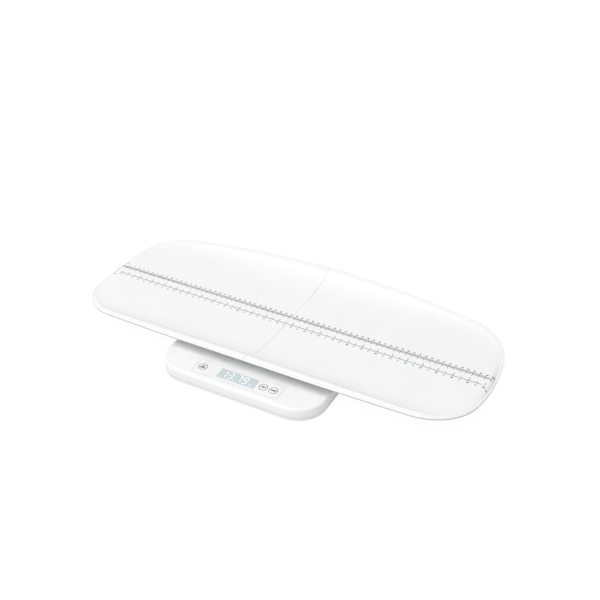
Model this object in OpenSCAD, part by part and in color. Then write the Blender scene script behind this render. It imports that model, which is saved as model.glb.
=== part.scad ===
// Digital baby weighing scale: a long two-piece tray on a low weighing base.
// X runs along the tray, -Y faces the display, +Z is up; the table is z = 0.
// The origin lies under the middle of the whole scale's outline.

/* [Tray] */
// Overall length of the tray
tray_l = 705; // [640:1:760]
// Overall depth of the tray, rim included
tray_d = 300; // [286:1:330]
// Thickness of the tray wall
tray_t = 3; // [2.4:0.1:4]
// Height of the rim over the floor at mid length
rim_h = 20; // [14:0.5:28]
// How far the rim falls below the floor at the two ends
rim_end_drop = 8.5; // [3:0.5:10]
// How late the rim falls along the outline, as a power
rim_power = 1.7; // [1.3:0.1:2.2]
// Radius of the long sides in plan
side_r = 2290; // [1800:10:3200]
// Radius of the end edges in plan
end_r = 390; // [250:5:600]
// Radius of the four corners in plan
corner_r = 90; // [60:1:100]
// Width of the flat flange round the rim at mid length
flange_w = 9; // [6:0.5:12]
// Width of the rounding between flange and wall
lip_w = 4; // [3:0.5:6]
// Run over which the wall sinks to the floor
wall_run = 20; // [14:1:26]
// Distance from the outer edge to where the floor is flat
floor_inset = 90; // [70:1:100]
// Share of the rim widths that is left at the ends
rim_end_share = 0.1; // [0.08:0.01:0.3]
// Height of the skirt round the outer edge
skirt_h = 4.2; // [3.6:0.1:6]
// Thickness of the skirt
skirt_t = 2.2; // [1.8:0.1:3]
// Gap between the two tray halves
seam_gap = 0.3; // [0.2:0.05:0.6]
// Height of the ribs beside the base
rib_h = 5; // [3:0.5:6]
// Thickness of the ribs
rib_t = 2.4; // [1.6:0.1:3.2]
// Distance between the outer ribs across the tray
rib_span = 116; // [90:2:118]
// Distance from the tray's end to the last rib
rib_end_inset = 82; // [70:1:100]

/* [Tray joint] */
// Width of a tongue that carries the right half at the seam
tongue_w = 34; // [20:1:44]
// Length of a tongue past the seam
tongue_l = 16; // [10:1:20]
// Distance between the outer tongues
tongue_span = 100; // [80:2:110]
// Gap between a tongue and the tray half it carries
tongue_gap = 0.1; // [0.1:0.05:0.3]

/* [Tray posts] */
// Radius of a post that stands in the base
post_r = 9; // [7:0.5:11]
// Distance of the posts from the base's sides
post_side_inset = 43.5; // [40:0.5:56]
// Distance between the posts across the tray
post_span_y = 110; // [90:2:120]
// Depth of a socket below the crown of the base
socket_depth = 7; // [5:0.5:9]
// Radial gap between a post and its socket
post_gap = 0.4; // [0.3:0.05:0.6]
// Wall round a post or a socket
socket_t = 2.2; // [1.8:0.1:3]
// Gap under a post's foot
post_foot_gap = 0.2; // [0.1:0.05:0.3]

/* [Base] */
// Width of the base
base_w = 283; // [270:1:296]
// Depth of the base
base_d = 290; // [280:1:310]
// Corner radius of the base in plan
base_corner_r = 48; // [46:1:54]
// How far the base stands out in front of the tray
base_reach = 41.4; // [36:0.1:44]
// Gap between the base crown and the tray
dock_gap = 2.3; // [2.2:0.1:4]
// Gap between the base crown and the frame under the tray
frame_gap = 0.5; // [0.4:0.1:0.8]
// Height of the lower cover's visible edge
cover_h = 7.4; // [6.5:0.1:8.5]
// Inset of the lower cover's edge under the shell
cover_inset = 1.2; // [0.6:0.1:2]
// Thickness of the lower cover's plate
cover_t = 2.5; // [2:0.1:3]
// Height of the shell's upright side
side_h = 12; // [11:0.5:16]
// Thickness of the shell
shell_t = 2.4; // [2:0.1:3]
// Radius of the shell's top edge
edge_r = 4; // [3.2:0.2:5]
// Slope of the shell's top towards its edge, in degrees
apron_tilt = 2.5; // [1.5:0.1:4]
// Width of the even slope round the top
apron_w = 48; // [46:1:50]
// Width over which the slope flattens into the crown
crown_run = 32; // [24:1:34]

/* [Panel] */
// Width of the panel overlay
panel_w = 151; // [148:1:156]
// Depth of the panel overlay
panel_d = 32.6; // [31:0.1:34]
// Distance from the base's front face to the panel
panel_inset = 9.9; // [9:0.1:11]
// Thickness of the overlay sheet
overlay_t = 0.6; // [0.4:0.1:0.8]
// Gap round the overlay sheet
overlay_gap = 0.3; // [0.2:0.05:0.5]
// Width of the display window
lcd_w = 66.2; // [60:0.1:70]
// Depth of the display window
lcd_d = 21; // [18:0.5:23]
// Thickness of the display window
window_t = 1.2; // [1:0.1:1.4]
// Width of the ledge that carries the window
window_ledge = 1.5; // [1:0.1:2]
// Diameter of a button
button_dia = 12.4; // [11:0.1:14]
// How far a button stands above the panel
button_proud = 0.5; // [0.4:0.1:1]
// Travel of a button
button_travel = 0.7; // [0.4:0.1:0.8]
// Gap round a button
button_gap = 0.3; // [0.2:0.05:0.4]
// Place of the power button along the panel
power_x = -63.2; // [-65:0.1:-50]
// Place of the unit button along the panel
unit_x = 44.8; // [44.5:0.1:46]
// Place of the tare button along the panel
tare_x = 62; // [61.8:0.1:65]

/* [Electronics] */
// Width of the circuit board
board_w = 142; // [138:1:146]
// Depth of the circuit board
board_d = 32; // [28:0.5:33]
// Thickness of the circuit board
board_t = 1.6; // [1.2:0.1:2]
// Depth of the board's top face below the panel
board_drop = 9.6; // [9:0.1:11]
// Thickness of the display glass
glass_t = 2.8; // [2:0.1:3.2]
// Side of a key switch's housing
switch_w = 6; // [5:0.1:7]
// Height of a key switch's housing
switch_h = 3.5; // [3:0.1:4]
// Radius of a key switch's plunger
plunger_r = 1.7; // [1.4:0.1:2]
// Radius of a signal wire
wire_r = 1.1; // [0.8:0.1:1.4]

/* [Feet] */
// Height of the gap under the base
foot_h = 4; // [3:0.5:6]
// Radius of a foot cup
foot_r = 17; // [14:0.5:17.5]
// Distance of a foot's centre from the base's edges
foot_inset = 41; // [40:0.5:45]
// Thickness of a rubber pad
pad_t = 2; // [1.5:0.1:2.6]
// Radius of a rubber pad
pad_r = 14; // [11:0.5:14]
// Gap between a foot cup and its well
foot_gap = 1.2; // [0.8:0.1:1.6]
// Side of a load cell's plate
cell_w = 38; // [36:0.5:40]
// Thickness of a load cell's plate
cell_t = 1.8; // [1.4:0.1:2.4]
// Height of a load cell's underside above the cover's plate
cell_rise = 3.6; // [3:0.1:5]
// Width of a load cell's frame
cell_frame = 6; // [5:0.5:7]

/* [Batteries] */
// Diameter of a battery
cell_dia = 10.5; // [10:0.1:11]
// Length of a battery
battery_l = 44.5; // [43:0.1:46]
// Gap between batteries
battery_gap = 0.8; // [0.5:0.1:1.5]
// Length of a contact spring
spring_l = 5; // [4:0.1:6]
// Thickness of a contact plate
contact_t = 0.5; // [0.3:0.1:0.8]
// Thickness of the battery bay's walls
bay_t = 1.6; // [1.2:0.1:2.2]
// Thickness of the battery door
door_t = 1.6; // [1.4:0.1:1.8]
// Gap round the battery door
door_gap = 0.3; // [0.2:0.05:0.4]
// Width of the door's guides
door_guide = 2; // [1.5:0.1:3]

/* [Screws] */
// Radius of a shell screw's shank
screw_r = 1.5; // [1.2:0.1:1.8]
// Radius of a shell screw's head
screw_head_r = 2.9; // [2.4:0.1:3.4]
// Length of a shell screw's thread in its boss
screw_bite = 8; // [6:0.5:9]
// Radius of a screw post
post_boss_r = 4.2; // [3.6:0.1:5]
// Radius of a board screw's shank
board_screw_r = 1; // [0.8:0.1:1.2]
// Length of a board screw's thread in its post
board_screw_bite = 4; // [3:0.5:5]

/* [Hidden] */
$fn = 48;
eps = 0.01;

// Places along Y: the whole outline is centred on y = 0.
tray_y = base_reach / 2;
base_front_y = tray_y - tray_d / 2 - base_reach;
base_y = base_front_y + base_d / 2;
base_back_y = base_front_y + base_d;
post_span_x = base_w - 2 * post_side_inset;

// Levels of the base
cover_top_z = foot_h + cover_h;
plate_top_z = foot_h + cover_t;
side_top_z = cover_top_z + side_h;
fillet_w = edge_r * (1 - sin(apron_tilt));
apron_z = side_top_z + edge_r * cos(apron_tilt);
apron_end_z = apron_z + (apron_w - fillet_w) * tan(apron_tilt);
crown_w = apron_w + crown_run;
crown_z = apron_end_z + crown_run * tan(apron_tilt) / 2;
tray_under_z = crown_z + dock_gap;
tray_z = tray_under_z + tray_t;

// Small fixed details
tray_post_fit = 0.05;
edge_round = 1.2;
edge_round_w = 1.4;
rib_n = 4;
rib_start_x = tongue_l + 6;
low_rib_h = dock_gap - frame_gap;
rib_end_x = tray_l / 2 - rib_end_inset;
rib_rows = [for (i = [0:rib_n - 1]) rib_span * (i / (rib_n - 1) - 0.5)];
side_rib_x = base_w / 2 + 6.5;
mid_rib_x = (side_rib_x + rib_end_x) / 2;
embed = 1;

// Tray outline: a side arc, a corner arc and an end arc in each quarter
side_cy = tray_d / 2 - side_r;
end_cx = tray_l / 2 - end_r;
centre_gap = norm([end_cx, side_cy]);
side_reach = side_r - corner_r;
end_reach = end_r - corner_r;
along = (side_reach ^ 2 - end_reach ^ 2 + centre_gap ^ 2) / (2 * centre_gap);
across = sqrt(side_reach ^ 2 - along ^ 2);
to_end = [end_cx, -side_cy] / centre_gap;
corner_c = [0, side_cy] + along * to_end + across * [to_end.y, -to_end.x];
side_turn = atan2(corner_c.x, corner_c.y - side_cy);
end_turn = atan2(corner_c.x - end_cx, corner_c.y);
side_len = side_r * side_turn * PI / 180;
corner_len = corner_r * (end_turn - side_turn) * PI / 180;
end_len = end_r * (90 - end_turn) * PI / 180;
edge_len = side_len + corner_len + end_len;
side_steps = 10;
corner_steps = 10;
end_steps = 4;

// A station on the outline: arc centre, arc radius, turn from +Y, share of the quarter.
// The last one stops half a step short of the tip, so that no point lies on the middle plane.
quarter = concat(
  [for (i = [0:side_steps])
    let (f = i / side_steps)
    [[0, side_cy], side_r, side_turn * f, side_len * f / edge_len]],
  [for (i = [1:corner_steps])
    let (f = i / corner_steps)
    [corner_c, corner_r, side_turn + (end_turn - side_turn) * f,
      (side_len + corner_len * f) / edge_len]],
  [for (i = [1:end_steps])
    let (f = i / (end_steps + 0.5))
    [[end_cx, 0], end_r, end_turn + (90 - end_turn) * f,
      (side_len + corner_len + end_len * f) / edge_len]]
);
quarter_n = len(quarter);

// Share of the rim's widths and height of the rim at a share s of the quarter
function rim_share(s) = 1 - (1 - rim_end_share) * s ^ 2;
function rim_level(s) = rim_h - (rim_h + rim_end_drop) * s ^ rim_power;

// How the rim's height fades with the inset from the edge
wall_start = flange_w + lip_w;
lip_fall = 1 / (2 * lip_w * wall_run + lip_w ^ 2);
wall_top = 1 - lip_fall * lip_w ^ 2;
floor_left = exp(-(floor_inset - wall_start) / wall_run);
function fade(w) =
  w <= flange_w ? 1 :
  w <= wall_start ? 1 - lip_fall * (w - flange_w) ^ 2 :
  w >= floor_inset ? 0 :
  wall_top * (exp(-(w - wall_start) / wall_run) - floor_left) / (1 - floor_left);
function rounding(w) =
  w >= edge_round_w ? 0 : edge_round * (1 - w / edge_round_w) ^ 2;

// Insets at which the tray's surface is drawn, from the floor to the edge
insets = [
  floor_inset, wall_start + 54, wall_start + 40, wall_start + 29,
  wall_start + 20, wall_start + 13, wall_start + 7, wall_start + 3,
  wall_start, flange_w + lip_w / 2, flange_w, edge_round_w,
  edge_round_w / 3, 0
];
under_insets = [0, 4, 9, 13, 17, 22, 29, 38, 50, 65, floor_inset];

// One section across the rim, from the floor over the edge to the underside
function section(s) =
  let (k = rim_share(s), h = rim_level(s))
  let (inner = skirt_t + 0.4, last = floor_inset * k)
  concat(
    [for (w = insets) [w * k, tray_z + h * fade(w) - rounding(w)]],
    [[0, tray_z + h - skirt_h], [skirt_t, tray_z + h - skirt_h]],
    [for (w = under_insets)
      let (v = inner + (last - inner) * w / floor_inset)
      [v, tray_z + h * fade(v / k) - tray_t]]
  );
function at(q, w) = q[0] + (q[1] - w) * [sin(q[2]), cos(q[2])];
function place(q, end, side) = [for (p = section(q[3]))
  let (xy = at(q, p[0]))
  [end * (seam_gap / 2 + xy.x * (1 - seam_gap / tray_l)), tray_y + side * xy.y, p[1]]];

// One half of the tray: end is 1 for the right half and -1 for the left one
module tray_shell(end) {
  rows = concat(
    [for (i = [0:quarter_n - 1]) place(quarter[i], end, -end)],
    [for (i = [quarter_n - 1:-1:0]) place(quarter[i], end, end)]
  );
  n = len(rows);
  m = len(rows[0]);
  points = [for (row = rows) each row];
  strips = [for (j = [0:n - 2], i = [0:m - 2])
    let (a = j * m + i, b = a + 1, c = a + m, d = c + 1)
    each [[a, c, b], [b, c, d]]];
  floor_face = [for (j = [0:n - 1]) (n - 1 - j) * m];
  under_face = [for (j = [0:n - 1]) j * m + m - 1];
  seam_face = concat(
    [for (i = [0:m - 1]) i],
    [for (i = [m - 1:-1:0]) (n - 1) * m + i]
  );
  polyhedron(points, concat(strips, [floor_face, under_face, seam_face]), convexity = 6);
}

module tray_right() {
  color("white") tray_shell(1);
}

module tray_left() {
  color("white") tray_shell(-1);
}

// Bars of the frame under a tray half, from one place along X to another
module frame_bars(columns, h) {
  low = tray_under_z - h;
  start = columns[0];
  end = columns[len(columns) - 1];
  for (y = rib_rows)
    translate([start - rib_t / 2, tray_y + y - rib_t / 2, low])
      cube([end - start + rib_t, rib_t, h]);
  for (x = columns)
    translate([x - rib_t / 2, tray_y - rib_span / 2 - rib_t / 2, low])
      cube([rib_t, rib_span + rib_t, h]);
}

// The frame under a tray half: low over the base and deeper beside it
module tray_frame() {
  hole_r = post_r + tray_post_fit;
  difference() {
    union() {
      frame_bars([rib_start_x, side_rib_x], low_rib_h);
      frame_bars([side_rib_x, mid_rib_x, rib_end_x], rib_h);
      for (side = [-1, 1])
        translate([post_span_x / 2, tray_y + side * post_span_y / 2,
            tray_under_z - low_rib_h])
          cylinder(r = hole_r + socket_t, h = low_rib_h);
    }
    for (side = [-1, 1])
      translate([post_span_x / 2, tray_y + side * post_span_y / 2,
          tray_under_z - low_rib_h - embed])
        cylinder(r = hole_r, h = low_rib_h + 2 * embed);
  }
}

// Tongues of the left frame that reach under the right half at the seam
module tongues() {
  low = tray_under_z - low_rib_h;
  for (i = [-1:1]) {
    y = tray_y + i * tongue_span / 2 - tongue_w / 2;
    translate([-rib_start_x, y, low])
      cube([rib_start_x + tongue_l, tongue_w, low_rib_h - tongue_gap]);
    translate([-rib_start_x, y, low])
      cube([rib_start_x - seam_gap / 2, tongue_w, low_rib_h]);
  }
}

module tray_frame_right() {
  color("whitesmoke") tray_frame();
}

module tray_frame_left() {
  color("whitesmoke") union() {
    mirror([1, 0, 0]) tray_frame();
    tongues();
  }
}

// Posts that stand in the base's sockets
post_foot_z = crown_z - socket_depth + post_foot_gap;
module post() {
  foot_chamfer = 1;
  translate([0, 0, post_foot_z])
    cylinder(r1 = post_r - foot_chamfer, r2 = post_r, h = foot_chamfer);
  translate([0, 0, post_foot_z + foot_chamfer])
    cylinder(r = post_r, h = tray_under_z - post_foot_z - foot_chamfer);
}

module posts(end) {
  color("whitesmoke")
    for (side = [-1, 1])
      translate([end * post_span_x / 2, tray_y + side * post_span_y / 2, 0]) post();
}

module tray_posts_left() {
  posts(-1);
}

module tray_posts_right() {
  posts(1);
}

// Top of the base as a height over the inset from its outline
function base_top(w) =
  w < fillet_w ? side_top_z + sqrt(edge_r ^ 2 - (edge_r - w) ^ 2) :
  w < apron_w ? apron_z + (w - fillet_w) * tan(apron_tilt) :
  w < crown_w ? apron_end_z + (w - apron_w) * tan(apron_tilt)
    * (1 - (w - apron_w) / (2 * crown_run)) :
  crown_z;

// Corner radius of the base's outline at an inset: even at the edge, softer inside
corner_even = edge_r + 1;
function base_radius(w) = w <= corner_even ? base_corner_r - w :
  base_corner_r - corner_even - (w - corner_even) / 2;

base_steps = 10;
function base_ring(w, z) =
  let (r = base_radius(w), x = base_w / 2 - w - r, y = base_d / 2 - w - r)
  [for (c = [[x, y, 0], [-x, y, 90], [-x, -y, 180], [x, -y, 270]])
    for (i = [0:base_steps])
      let (a = c[2] + 90 * i / base_steps)
      [c[0] + r * cos(a), base_y + c[1] + r * sin(a), z]];

module base_skin() {
  crown_shares = [1, 0.75, 0.5, 0.25, 0];
  fillet_turns = [90 - apron_tilt, 72, 54, 36, 18, 0];
  inner_insets = [apron_w - 18, 14, 7, shell_t + 1.4, shell_t];
  rings = concat(
    [for (f = crown_shares) [apron_w + crown_run * f, base_top(apron_w + crown_run * f)]],
    [for (a = fillet_turns) [edge_r * (1 - cos(a)), side_top_z + edge_r * sin(a)]],
    [[0, cover_top_z], [shell_t, cover_top_z]],
    [for (i = [4:-1:0]) [inner_insets[i], base_top(inner_insets[i]) - shell_t]],
    [for (i = [4:-1:0])
      let (w = apron_w + crown_run * crown_shares[i])
      [w, base_top(w) - shell_t]]
  );
  n = len(rings);
  m = 4 * (base_steps + 1);
  points = [for (r = rings) each base_ring(r[0], r[1])];
  strips = [for (j = [0:n - 2], i = [0:m - 1])
    let (a = j * m + i, b = j * m + (i + 1) % m, c = a + m, d = b + m)
    each [[a, b, c], [b, d, c]]];
  top_face = [for (i = [m - 1:-1:0]) i];
  inner_face = [for (i = [0:m - 1]) (n - 1) * m + i];
  polyhedron(points, concat(strips, [top_face, inner_face]), convexity = 6);
}

// Places inside the base
join_z = plate_top_z + 5.5;
screw_edge = 14;
screw_front_x = base_w * 0.29;
screw_mid_x = base_w * 0.18;
screw_back_x = base_w * 0.25;
screw_places = [
  for (s = [-1, 1]) each [
    [s * screw_front_x, base_front_y + screw_edge],
    [s * screw_mid_x, base_y],
    [s * (base_w / 2 - screw_edge), base_y],
    [s * screw_back_x, base_back_y - screw_edge]
  ]
];
function edge_inset(p) = min(base_w / 2 - abs(p.x), base_d / 2 - abs(p.y - base_y));
socket_floor_z = crown_z - socket_depth;
socket_places = [for (x = [-1, 1], y = [-1, 1])
  [x * post_span_x / 2, tray_y + y * post_span_y / 2]];

// The panel's own frame: its origin is the middle of the panel, on the surface
panel_mid_w = panel_inset + panel_d / 2 * cos(apron_tilt);
module on_panel() {
  translate([0, base_front_y + panel_mid_w, base_top(panel_mid_w)])
    rotate([apron_tilt, 0, 0])
      children();
}
button_places = [power_x, unit_x, tare_x];
board_post_r = 2.6;
board_fix_edge = board_post_r + 1.4;
board_fix_places = [for (x = [-1, 1], y = [-1, 1])
  [x * (board_w / 2 - board_fix_edge), y * (board_d / 2 - board_fix_edge)]];
pilot_gap = 0.05;
pilot_spare = 1;

module panel_cuts() {
  cut = 5;
  translate([-panel_w / 2, -panel_d / 2, -overlay_t])
    cube([panel_w, panel_d, cut]);
  translate([-lcd_w / 2, -lcd_d / 2, -window_t])
    cube([lcd_w, lcd_d, cut]);
  translate([window_ledge - lcd_w / 2, window_ledge - lcd_d / 2, -cut])
    cube([lcd_w - 2 * window_ledge, lcd_d - 2 * window_ledge, 2 * cut]);
  for (x = button_places)
    translate([x, 0, -cut])
      cylinder(r = button_dia / 2 + button_gap, h = 2 * cut);
}

module board_posts() {
  for (p = board_fix_places)
    translate([p.x, p.y, -board_drop])
      difference() {
        cylinder(r = board_post_r, h = board_drop - shell_t / 2);
        translate([0, 0, -embed])
          cylinder(r = board_screw_r + pilot_gap, h = board_screw_bite + pilot_spare + embed);
      }
}

module shell_posts() {
  for (p = screw_places)
    translate([p.x, p.y, join_z])
      difference() {
        cylinder(r = post_boss_r, h = base_top(edge_inset(p)) - shell_t / 2 - join_z);
        translate([0, 0, -embed])
          cylinder(r = screw_r + pilot_gap, h = screw_bite + pilot_spare + embed);
      }
}

module socket_cups() {
  for (p = socket_places)
    translate([p.x, p.y, socket_floor_z - socket_t])
      cylinder(r = post_r + post_gap + socket_t,
        h = base_top(edge_inset(p)) - shell_t / 2 - socket_floor_z + socket_t);
}

module crown_ribs() {
  rib_depth = 6;
  rib_low = crown_z - shell_t - rib_depth;
  rib_reach = base_w * 0.28;
  cross_y = 8;
  for (x = [-screw_mid_x, screw_mid_x])
    translate([x - rib_t / 2, base_y - rib_reach, rib_low])
      cube([rib_t, 2 * rib_reach, crown_z - shell_t / 2 - rib_low]);
  for (y = [-cross_y, cross_y])
    translate([-rib_reach, base_y + y - rib_t / 2, rib_low])
      cube([2 * rib_reach, rib_t, crown_z - shell_t / 2 - rib_low]);
}

module base_top_shell() {
  color("white") difference() {
    union() {
      base_skin();
      shell_posts();
      socket_cups();
      crown_ribs();
      on_panel() board_posts();
    }
    on_panel() panel_cuts();
    for (p = socket_places)
      translate([p.x, p.y, socket_floor_z])
        cylinder(r = post_r + post_gap, h = 3 * socket_depth);
  }
}

// Feet and load cells
foot_x = base_w / 2 - foot_inset;
foot_front_y = base_front_y + foot_inset;
foot_back_y = base_back_y - foot_inset;
well_r = foot_r + foot_gap;
well_t = 2.5;
cell_z = plate_top_z + cell_rise;
cell_top_z = cell_z + cell_t;
peg_r = 1.5;
peg_inset = 3;

module at_foot(end, side) {
  translate([end * foot_x, side < 0 ? foot_front_y : foot_back_y, 0])
    children();
}

module all_feet() {
  for (end = [-1, 1], side = [-1, 1])
    at_foot(end, side) children();
}

module cell_pegs(r, h) {
  for (s = [-1, 1])
    translate([s * (cell_w / 2 - peg_inset), s * (cell_w / 2 - peg_inset), 0])
      cylinder(r = r, h = h);
}

// Battery bay, open below and closed by a door that slides out to the back
battery_n = 3;
battery_pitch = cell_dia + battery_gap;
bay_l = battery_l + spring_l + 2 * contact_t;
bay_d = battery_n * cell_dia + (battery_n - 1) * battery_gap + 1;
bay_back_gap = 7;
cover_back_y = base_back_y - cover_inset;
bay_y = cover_back_y - bay_back_gap - bay_d / 2;
door_top_z = foot_h + door_t;
battery_z = door_top_z + 0.3 + cell_dia / 2;
bay_top_z = battery_z + cell_dia / 2 + 0.4;
door_w = bay_l + 2 * bay_t;
door_front_y = bay_y - bay_d / 2 - bay_t;
door_step = door_t / 2;

// The base's plan at an inset, as circles and squares
module plan(inset) {
  r = base_corner_r - inset;
  w = base_w - 2 * inset;
  d = base_d - 2 * inset;
  translate([0, base_y]) {
    square([w - 2 * r, d], center = true);
    square([w, d - 2 * r], center = true);
    for (x = [-1, 1], y = [-1, 1])
      translate([x * (w / 2 - r), y * (d / 2 - r)])
        circle(r, $fn = 96);
  }
}

module rim_band(inset, t, low, high) {
  translate([0, 0, low])
    linear_extrude(high - low)
      difference() {
        plan(inset);
        plan(inset + t);
      }
}

module door_cut() {
  guide = door_w / 2 + door_guide + door_gap;
  slot_d = cover_back_y - door_front_y + embed;
  translate([-door_w / 2 - door_gap, door_front_y - door_gap, foot_h - embed])
    cube([door_w + 2 * door_gap, slot_d + door_gap, door_t + embed + door_gap / 2]);
  translate([-guide, door_front_y - door_gap, foot_h + door_step - door_gap / 2])
    cube([2 * guide, slot_d + door_gap, door_t - door_step + door_gap]);
  translate([-bay_l / 2, bay_y - bay_d / 2, foot_h])
    cube([bay_l, bay_d, bay_top_z - foot_h]);
}

module base_bottom_cover() {
  chamfer = 1.2;
  edge_t = 2.2;
  lip_h = 2.5;
  lip_t = 1.5;
  lip_inset = shell_t + 0.2;
  bay_wall_w = door_w + 2 * door_guide + 2 * bay_t;
  color("gainsboro") difference() {
    union() {
      translate([0, 0, foot_h])
        linear_extrude(chamfer) plan(cover_inset + chamfer);
      translate([0, 0, foot_h + chamfer])
        linear_extrude(cover_t - chamfer) plan(cover_inset);
      rim_band(cover_inset, edge_t, plate_top_z - embed, cover_top_z);
      rim_band(lip_inset, lip_t, plate_top_z - embed, cover_top_z + lip_h);
      all_feet() {
        translate([0, 0, foot_h]) cylinder(r = well_r + well_t, h = cell_z - foot_h);
        translate([0, 0, foot_h + chamfer])
          cell_pegs(peg_r, cell_top_z + 1 - foot_h - chamfer);
      }
      for (p = screw_places)
        translate([p.x, p.y, foot_h + chamfer])
          cylinder(r = post_boss_r, h = join_z - foot_h - chamfer);
      translate([-bay_wall_w / 2, door_front_y - bay_t, foot_h + chamfer])
        cube([bay_wall_w, cover_back_y - 3 - door_front_y + bay_t, 4]);
      translate([-bay_l / 2 - bay_t, bay_y - bay_d / 2 - bay_t, foot_h + chamfer])
        cube([bay_l + 2 * bay_t, bay_d + 2 * bay_t, bay_top_z + bay_t - foot_h - chamfer]);
    }
    all_feet()
      translate([0, 0, foot_h - embed]) cylinder(r = well_r, h = cell_z);
    for (p = screw_places) {
      translate([p.x, p.y, foot_h - embed])
        cylinder(r = screw_r + door_gap, h = join_z);
      translate([p.x, p.y, foot_h - embed])
        cylinder(r = screw_head_r + door_gap, h = screw_sink + embed);
    }
    door_cut();
  }
}

module battery_door() {
  grip_n = 5;
  grip_pitch = 3;
  grip = [24, 1.2, 0.6];
  edge_stop = 6;
  color("gainsboro") difference() {
    union() {
      translate([-door_w / 2, door_front_y, foot_h])
        cube([door_w, cover_back_y - door_front_y, door_t]);
      translate([-door_w / 2 - door_guide, door_front_y, foot_h + door_step])
        cube([door_w + 2 * door_guide, cover_back_y - door_front_y - edge_stop,
          door_t - door_step]);
    }
    for (i = [0:grip_n - 1])
      translate([-grip.x / 2, cover_back_y - edge_stop - (i + 1) * grip_pitch,
          foot_h - embed])
        cube([grip.x, grip.y, grip.z + embed]);
  }
}

module in_bay(i) {
  translate([0, bay_y + (i - (battery_n - 1) / 2) * battery_pitch, battery_z])
    rotate([0, 0, i % 2 == 0 ? 0 : 180])
      children();
}

// Along +X inside the bay: contact, spring, battery, contact
battery_start = -bay_l / 2 + contact_t + spring_l;
module batteries() {
  nub_l = 1;
  color("silver") for (i = [0:battery_n - 1])
    in_bay(i)
      translate([battery_start, 0, 0]) rotate([0, 90, 0]) {
        cylinder(d = cell_dia, h = battery_l - nub_l);
        translate([0, 0, battery_l - nub_l])
          cylinder(d = cell_dia / 2, h = nub_l);
      }
}

module battery_springs() {
  color("silver") for (i = [0:battery_n - 1])
    in_bay(i)
      translate([contact_t - bay_l / 2, 0, 0]) rotate([0, 90, 0])
        cylinder(r1 = cell_dia / 2.6, r2 = cell_dia / 4, h = spring_l);
}

module battery_contacts() {
  plate_w = cell_dia - 1.5;
  color("silver") for (i = [0:battery_n - 1])
    in_bay(i)
      for (x = [-bay_l / 2, bay_l / 2 - contact_t])
        translate([x, -plate_w / 2, -plate_w / 2])
          cube([contact_t, plate_w, plate_w]);
}

// Panel
module panel_overlay() {
  w = panel_w - 2 * overlay_gap;
  d = panel_d - 2 * overlay_gap;
  color("white") on_panel() difference() {
    translate([-w / 2, -d / 2, -overlay_t]) cube([w, d, overlay_t]);
    translate([-lcd_w / 2, -lcd_d / 2, -1]) cube([lcd_w, lcd_d, 2]);
    for (x = button_places)
      translate([x, 0, -1]) cylinder(r = button_dia / 2 + button_gap, h = 2);
  }
}

module lcd_window() {
  gap = 0.1;
  color("lightsteelblue") on_panel()
    translate([gap - lcd_w / 2, gap - lcd_d / 2, -window_t])
      cube([lcd_w - 2 * gap, lcd_d - 2 * gap, window_t]);
}

glass_top = -shell_t - 0.1;
module lcd_glass() {
  color("slategray") on_panel()
    translate([-lcd_w / 2 - 1.5, -lcd_d / 2 - 1.5, glass_top - glass_t])
      cube([lcd_w + 3, lcd_d + 3, glass_t]);
}

module lcd_backlight() {
  color("ivory") on_panel()
    translate([-lcd_w / 2, -lcd_d / 2, -board_drop])
      cube([lcd_w, lcd_d, glass_top - glass_t + board_drop]);
}

module main_board() {
  color("seagreen") on_panel() difference() {
    translate([-board_w / 2, -board_d / 2, -board_drop - board_t])
      cube([board_w, board_d, board_t]);
    for (p = board_fix_places)
      translate([p.x, p.y, -board_drop - board_t - 1])
        cylinder(r = board_screw_r + 0.2, h = board_t + 2);
  }
}

board_under = -board_drop - board_t;
module controller_chip() {
  chip = [12, 12, 2];
  chip_place = [-15, -5];
  color("dimgray") on_panel()
    translate([chip_place.x - chip.x / 2, chip_place.y - chip.y / 2, board_under - chip.z])
      cube(chip);
}

// Places along X of the plugs under the board
plug_places = [for (f = [-0.34, -0.23, 0, 0.23, 0.34]) f * board_w];
plug_size = [7, 5, 5];
plug_y = board_d * 0.28;
module wire_plugs() {
  color("white") on_panel()
    for (x = plug_places)
      translate([x - plug_size.x / 2, plug_y - plug_size.y / 2, board_under - plug_size.z])
        cube(plug_size);
}

switch_top = -board_drop + switch_h;
plunger_hole = 2.4;
module key_switches() {
  color("dimgray") on_panel() difference() {
    for (x = button_places)
      translate([x - switch_w / 2, -switch_w / 2, -board_drop])
        cube([switch_w, switch_w, switch_h]);
    for (x = button_places)
      translate([x, 0, switch_top - plunger_hole])
        cylinder(r = plunger_r + 0.1, h = plunger_hole + 1);
  }
}

// A button: cap, guard flange under the shell and stem down to its plunger
stem_end = switch_top + button_travel + 0.4;
flange_top = -shell_t - 0.3;
flange_t = 1.2;
flange_r = min(button_dia / 2 + 0.9, (tare_x - unit_x) / 2 - 0.2);
module button(x) {
  bevel = 0.4;
  r = button_dia / 2;
  color("white") on_panel() translate([x, 0, 0])
    rotate_extrude()
      polygon([
        [0, stem_end], [2.2, stem_end], [2.2, flange_top - flange_t],
        [flange_r, flange_top - flange_t], [flange_r, flange_top],
        [r, flange_top], [r, button_proud - bevel],
        [r - bevel, button_proud], [0, button_proud]
      ]);
}

module plunger(x) {
  sunk = plunger_hole - button_travel - 0.3;
  color("dimgray") on_panel() translate([x, 0, switch_top - sunk])
    cylinder(r = plunger_r, h = stem_end - switch_top + sunk);
}

module button_power() {
  button(power_x);
}

module button_unit() {
  button(unit_x);
}

module button_tare() {
  button(tare_x);
}

module plunger_power() {
  plunger(power_x);
}

module plunger_unit() {
  plunger(unit_x);
}

module plunger_tare() {
  plunger(tare_x);
}

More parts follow.
